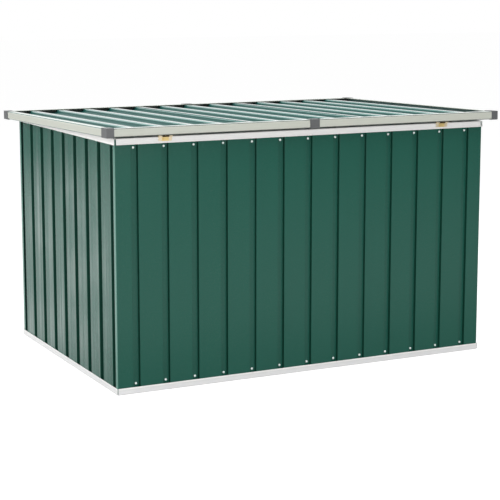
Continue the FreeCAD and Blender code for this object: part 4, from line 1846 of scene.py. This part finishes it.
    def build_cap(self, side: LidSide, end: End, finishes: Finishes) -> None:
        """A corner cap: a sleeve over the rails' corner, and a key in each rail.

        Args:
            side: The long side that it is on.
            end: The end that it is on.
            finishes: The materials.
        """
        plan = self.plan
        edge_x = end.out * plan.lid_half
        edge_y = plan.lid_edge(side)
        face_y = edge_y - side.out * plan.cap_wall
        stop_x = edge_x - end.out * self.cap_long_leg
        stop_y = edge_y - side.out * self.cap_side_leg
        key_x = edge_x - end.out * self.key_root
        key_y = edge_y - side.out * self.key_root
        tip_x = end.out * (plan.lid_half - plan.cap_wall - plan.lid_flange - self.key_reach)
        side_key = spans((key_x, key_x - end.out * self.key_width), (face_y, stop_y))
        long_key = spans((key_x, tip_x), (key_y, key_y - side.out * self.key_width))
        outline = spans((edge_x, stop_x), (edge_y, stop_y))
        open_to = ((-end.out, 0, 0), (0, -side.out, 0))
        sleeve = self.sleeve(f"corner_cap_{side.value}_{end.value}", outline, open_to)
        self.build_moulding(sleeve, (side_key, long_key), self.cap_key_ease, finishes)

    def build_joiner(self, side: LidSide, finishes: Finishes) -> None:
        """A joiner at the middle of a long rail: a sleeve, a web between the halves, and a key.

        Args:
            side: The long side that it is on.
            finishes: The materials.
        """
        plan = self.plan
        half = self.joiner_length / 2
        half_rib = self.joiner_rib / 2
        edge_y = plan.lid_edge(side)
        face_y = edge_y - side.out * plan.cap_wall
        stop_y = edge_y - side.out * (plan.cap_wall + plan.lid_flange)
        key_y = edge_y - side.out * self.key_root
        tip_y = key_y - side.out * self.key_width
        web = spans((-half_rib, half_rib), (face_y, tip_y))
        key = spans((-self.key_reach, self.key_reach), (key_y, tip_y))
        outline = spans((-half, half), (edge_y, stop_y))
        open_to = (TO_RIGHT, TO_LEFT, (0, -side.out, 0))
        sleeve = self.sleeve(f"rail_joiner_{side.value}", outline, open_to)
        self.build_moulding(sleeve, (web, key), self.joiner_key_ease, finishes)

    def build(self, finishes: Finishes) -> None:
        """Builds the rails, the corner caps and the joiners.

        Args:
            finishes: The materials.
        """
        self.build_rails(finishes)
        for side in LidSide:
            for end in End:
                self.build_cap(side, end, finishes)
            self.build_joiner(side, finishes)


# Studio


def grey(level: float) -> tuple[float, float, float, float]:
    """An opaque grey of one level."""
    return level, level, level, 1.0


@dataclass(frozen=True)
class Lamp:
    """A soft lamp that faces a target, and that the camera doesn't see."""

    name: str
    place: Place
    target: Place
    size: Point
    power: float

    def hang(self) -> None:
        """Hangs the lamp in its place."""
        data = bpy.data.lights.new(self.name, "AREA")
        data.energy = self.power
        data.shape = "RECTANGLE"
        data.size, data.size_y = self.size
        lamp = bpy.data.objects.new(self.name, data)
        lamp.visible_camera = False
        bpy.context.scene.collection.objects.link(lamp)
        lamp.location = self.place
        lamp.rotation_euler = (Vector(self.target) - Vector(self.place)).to_track_quat("-Z", "Y").to_euler()


LAMPS = (
    Lamp("left_softbox", (-3.4, 0.3, 2.0), (0.0, 0.0, 0.5), (2.6, 2.6), 92.0),
    Lamp("top_softbox", (0.0, -1.4, 3.3), (0.0, -0.3, 0.4), (3.0, 2.2), 62.0),
    Lamp("front_softbox", (-0.9, -4.2, 1.15), (0.0, -0.5, 0.5), (3.4, 0.8), 58.0),
    Lamp("right_softbox", (3.3, 0.5, 2.1), (0.5, 0.0, 0.4), (2.2, 2.2), 34.0),
)


@dataclass
class Studio:
    """The floor, the light and the camera."""

    camera_place: Place = (-2.4323, -4.8736, 1.3167)
    camera_yaw: float = 26.726
    camera_pitch: float = 8.951
    lens: float = 107.47
    sensor: float = 36.0
    shift_y: float = -0.06
    clip_end: float = 100.0
    world_level: float = 0.42
    room: tuple[Point, ...] = ((-1.0, 0.1), (-0.35, 0.12), (0.45, 1.0))
    front_room: tuple[Point, ...] = ((-9.0, 0.04), (-6.5, 0.12), (-3.8, 0.66), (-1.6, 0.72), (-0.6, 0.35))
    back_room: tuple[Point, ...] = ((-0.1, 0.65), (0.5, 1.0), (4.0, 1.0), (5.2, 0.6), (6.6, 0.2), (9.0, 0.2))
    floor_size: float = 60.0
    floor_drop: float = 0.0006
    floor_plain: float = 0.7
    floor_shade: float = 0.5
    floor_glow: float = 0.78

    def build(self) -> None:
        """Builds the floor, the world, the lamps and the camera."""
        self.build_floor()
        self.build_world()
        for lamp in LAMPS:
            lamp.hang()
        self.build_camera()

    def room_strength(
        self, tree: bpy.types.NodeTree, place: bpy.types.NodeSocket, levels: Sequence[Point]
    ) -> bpy.types.NodeSocket:
        """How bright the studio looks in reflections, from front to back.

        Args:
            tree: The tree to add to.
            place: A position or a direction.
            levels: Places along Y, in order, and the brightness at each.

        Returns:
            The strength.
        """
        low, high = levels[0][0], levels[-1][0]
        split = add_node(tree, "ShaderNodeSeparateXYZ")
        scale = add_node(tree, "ShaderNodeMapRange", From_Min=low, From_Max=high)
        grade = add_node(tree, "ShaderNodeValToRGB")
        ramp = grade.color_ramp
        ramp.interpolation = "EASE"
        ready = len(ramp.elements)
        for index, (along, level) in enumerate(levels):
            spot = (along - low) / (high - low)
            stop = ramp.elements[index] if index < ready else ramp.elements.new(spot)
            stop.position = spot
            stop.color = grey(level)
        tree.links.new(place, split.inputs[0])
        tree.links.new(split.outputs["Y"], scale.inputs["Value"])
        tree.links.new(scale.outputs["Result"], grade.inputs["Fac"])
        return grade.outputs["Color"]

    def by_ray(
        self, tree: bpy.types.NodeTree, plain: bpy.types.Node, mirrored: bpy.types.Node, seen: bpy.types.Node
    ) -> bpy.types.NodeSocket:
        """Chooses between three shaders by the kind of ray that meets them.

        Args:
            tree: The tree to add to.
            plain: The shader for rays of any other kind.
            mirrored: The shader for glossy rays.
            seen: The shader for camera and transmission rays.

        Returns:
            The chosen shader.
        """
        path = add_node(tree, "ShaderNodeLightPath").outputs
        is_seen = add_math(tree, "MAXIMUM", path["Is Camera Ray"], path["Is Transmission Ray"])
        chosen = plain.outputs[0]
        for mask, other in ((path["Is Glossy Ray"], mirrored), (is_seen, seen)):
            choice = add_node(tree, "ShaderNodeMixShader")
            tree.links.new(mask, choice.inputs[0])
            tree.links.new(chosen, choice.inputs[1])
            tree.links.new(other.outputs[0], choice.inputs[2])
            chosen = choice.outputs[0]
        return chosen

    def build_floor(self) -> None:
        """A pale floor that looks white and keeps the object's shadow."""
        clear_selection()
        bpy.ops.mesh.primitive_plane_add(size=self.floor_size, location=(0.0, 0.0, -self.floor_drop))
        floor = bpy.context.active_object
        floor.name = "studio_floor"
        material = bpy.data.materials.new("studio_floor_white")
        material.use_nodes = True
        tree = material.node_tree
        tree.nodes.clear()
        out = add_node(tree, "ShaderNodeOutputMaterial")
        plain = add_node(tree, "ShaderNodeBsdfDiffuse", Color=grey(self.floor_plain))
        shade = add_node(tree, "ShaderNodeBsdfDiffuse", Color=grey(self.floor_shade))
        glow = add_node(tree, "ShaderNodeEmission", Strength=self.floor_glow)
        mirrored = add_node(tree, "ShaderNodeEmission")
        lit = add_node(tree, "ShaderNodeAddShader")
        place = add_node(tree, "ShaderNodeTexCoord").outputs["Object"]
        strength = self.room_strength(tree, place, self.front_room + self.back_room)
        tree.links.new(strength, mirrored.inputs["Strength"])
        tree.links.new(shade.outputs[0], lit.inputs[0])
        tree.links.new(glow.outputs[0], lit.inputs[1])
        tree.links.new(self.by_ray(tree, plain, mirrored, lit), out.inputs["Surface"])
        floor.data.materials.append(material)

    def build_world(self) -> None:
        """Even light from all round, a white backdrop behind and a dimmer room in front."""
        world = bpy.data.worlds.new("studio_world")
        bpy.context.scene.world = world
        world.use_nodes = True
        tree = world.node_tree
        tree.nodes.clear()
        out = add_node(tree, "ShaderNodeOutputWorld")
        light = add_node(tree, "ShaderNodeBackground", Color=grey(1.0), Strength=self.world_level)
        mirrored = add_node(tree, "ShaderNodeBackground", Color=grey(1.0))
        seen = add_node(tree, "ShaderNodeBackground", Color=grey(1.0), Strength=1.0)
        place = add_node(tree, "ShaderNodeTexCoord").outputs["Generated"]
        tree.links.new(self.room_strength(tree, place, self.room), mirrored.inputs["Strength"])
        tree.links.new(self.by_ray(tree, light, mirrored, seen), out.inputs["Surface"])

    def build_camera(self) -> None:
        """The camera at the photograph's viewpoint."""
        data = bpy.data.cameras.new("studio_camera")
        data.lens = self.lens
        data.sensor_width = self.sensor
        data.shift_y = self.shift_y
        data.clip_end = self.clip_end
        camera = bpy.data.objects.new("studio_camera", data)
        bpy.context.scene.collection.objects.link(camera)
        camera.location = self.camera_place
        pitch = math.radians(90.0 - self.camera_pitch)
        camera.rotation_euler = (pitch, 0.0, -math.radians(self.camera_yaw))
        bpy.context.scene.camera = camera


def write_sizes() -> None:
    """Brings the view layer up to date; it writes nothing.
    """
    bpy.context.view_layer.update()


def main() -> None:
    """Builds every sub-assembly and the studio."""
    logging.basicConfig(level=logging.INFO, format="%(name)s: %(message)s")
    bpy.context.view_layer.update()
    bpy.context.scene.view_settings.view_transform = "Standard"
    plan = BoxPlan()
    walls = wall_plans(plan)
    finishes = make_finishes()
    sheets = GroovedSheets(plan)
    for wall in walls:
        sheets.build_wall(wall, finishes)
    sheets.build_lid(walls[0], finishes)
    BodyRails(plan).build(walls, finishes)
    WallScrews(plan).build(walls, finishes)
    Hinges(plan).build(finishes)
    LidFrame(plan).build(finishes)
    Studio().build()
    write_sizes()


if __name__ == "__main__":
    main()
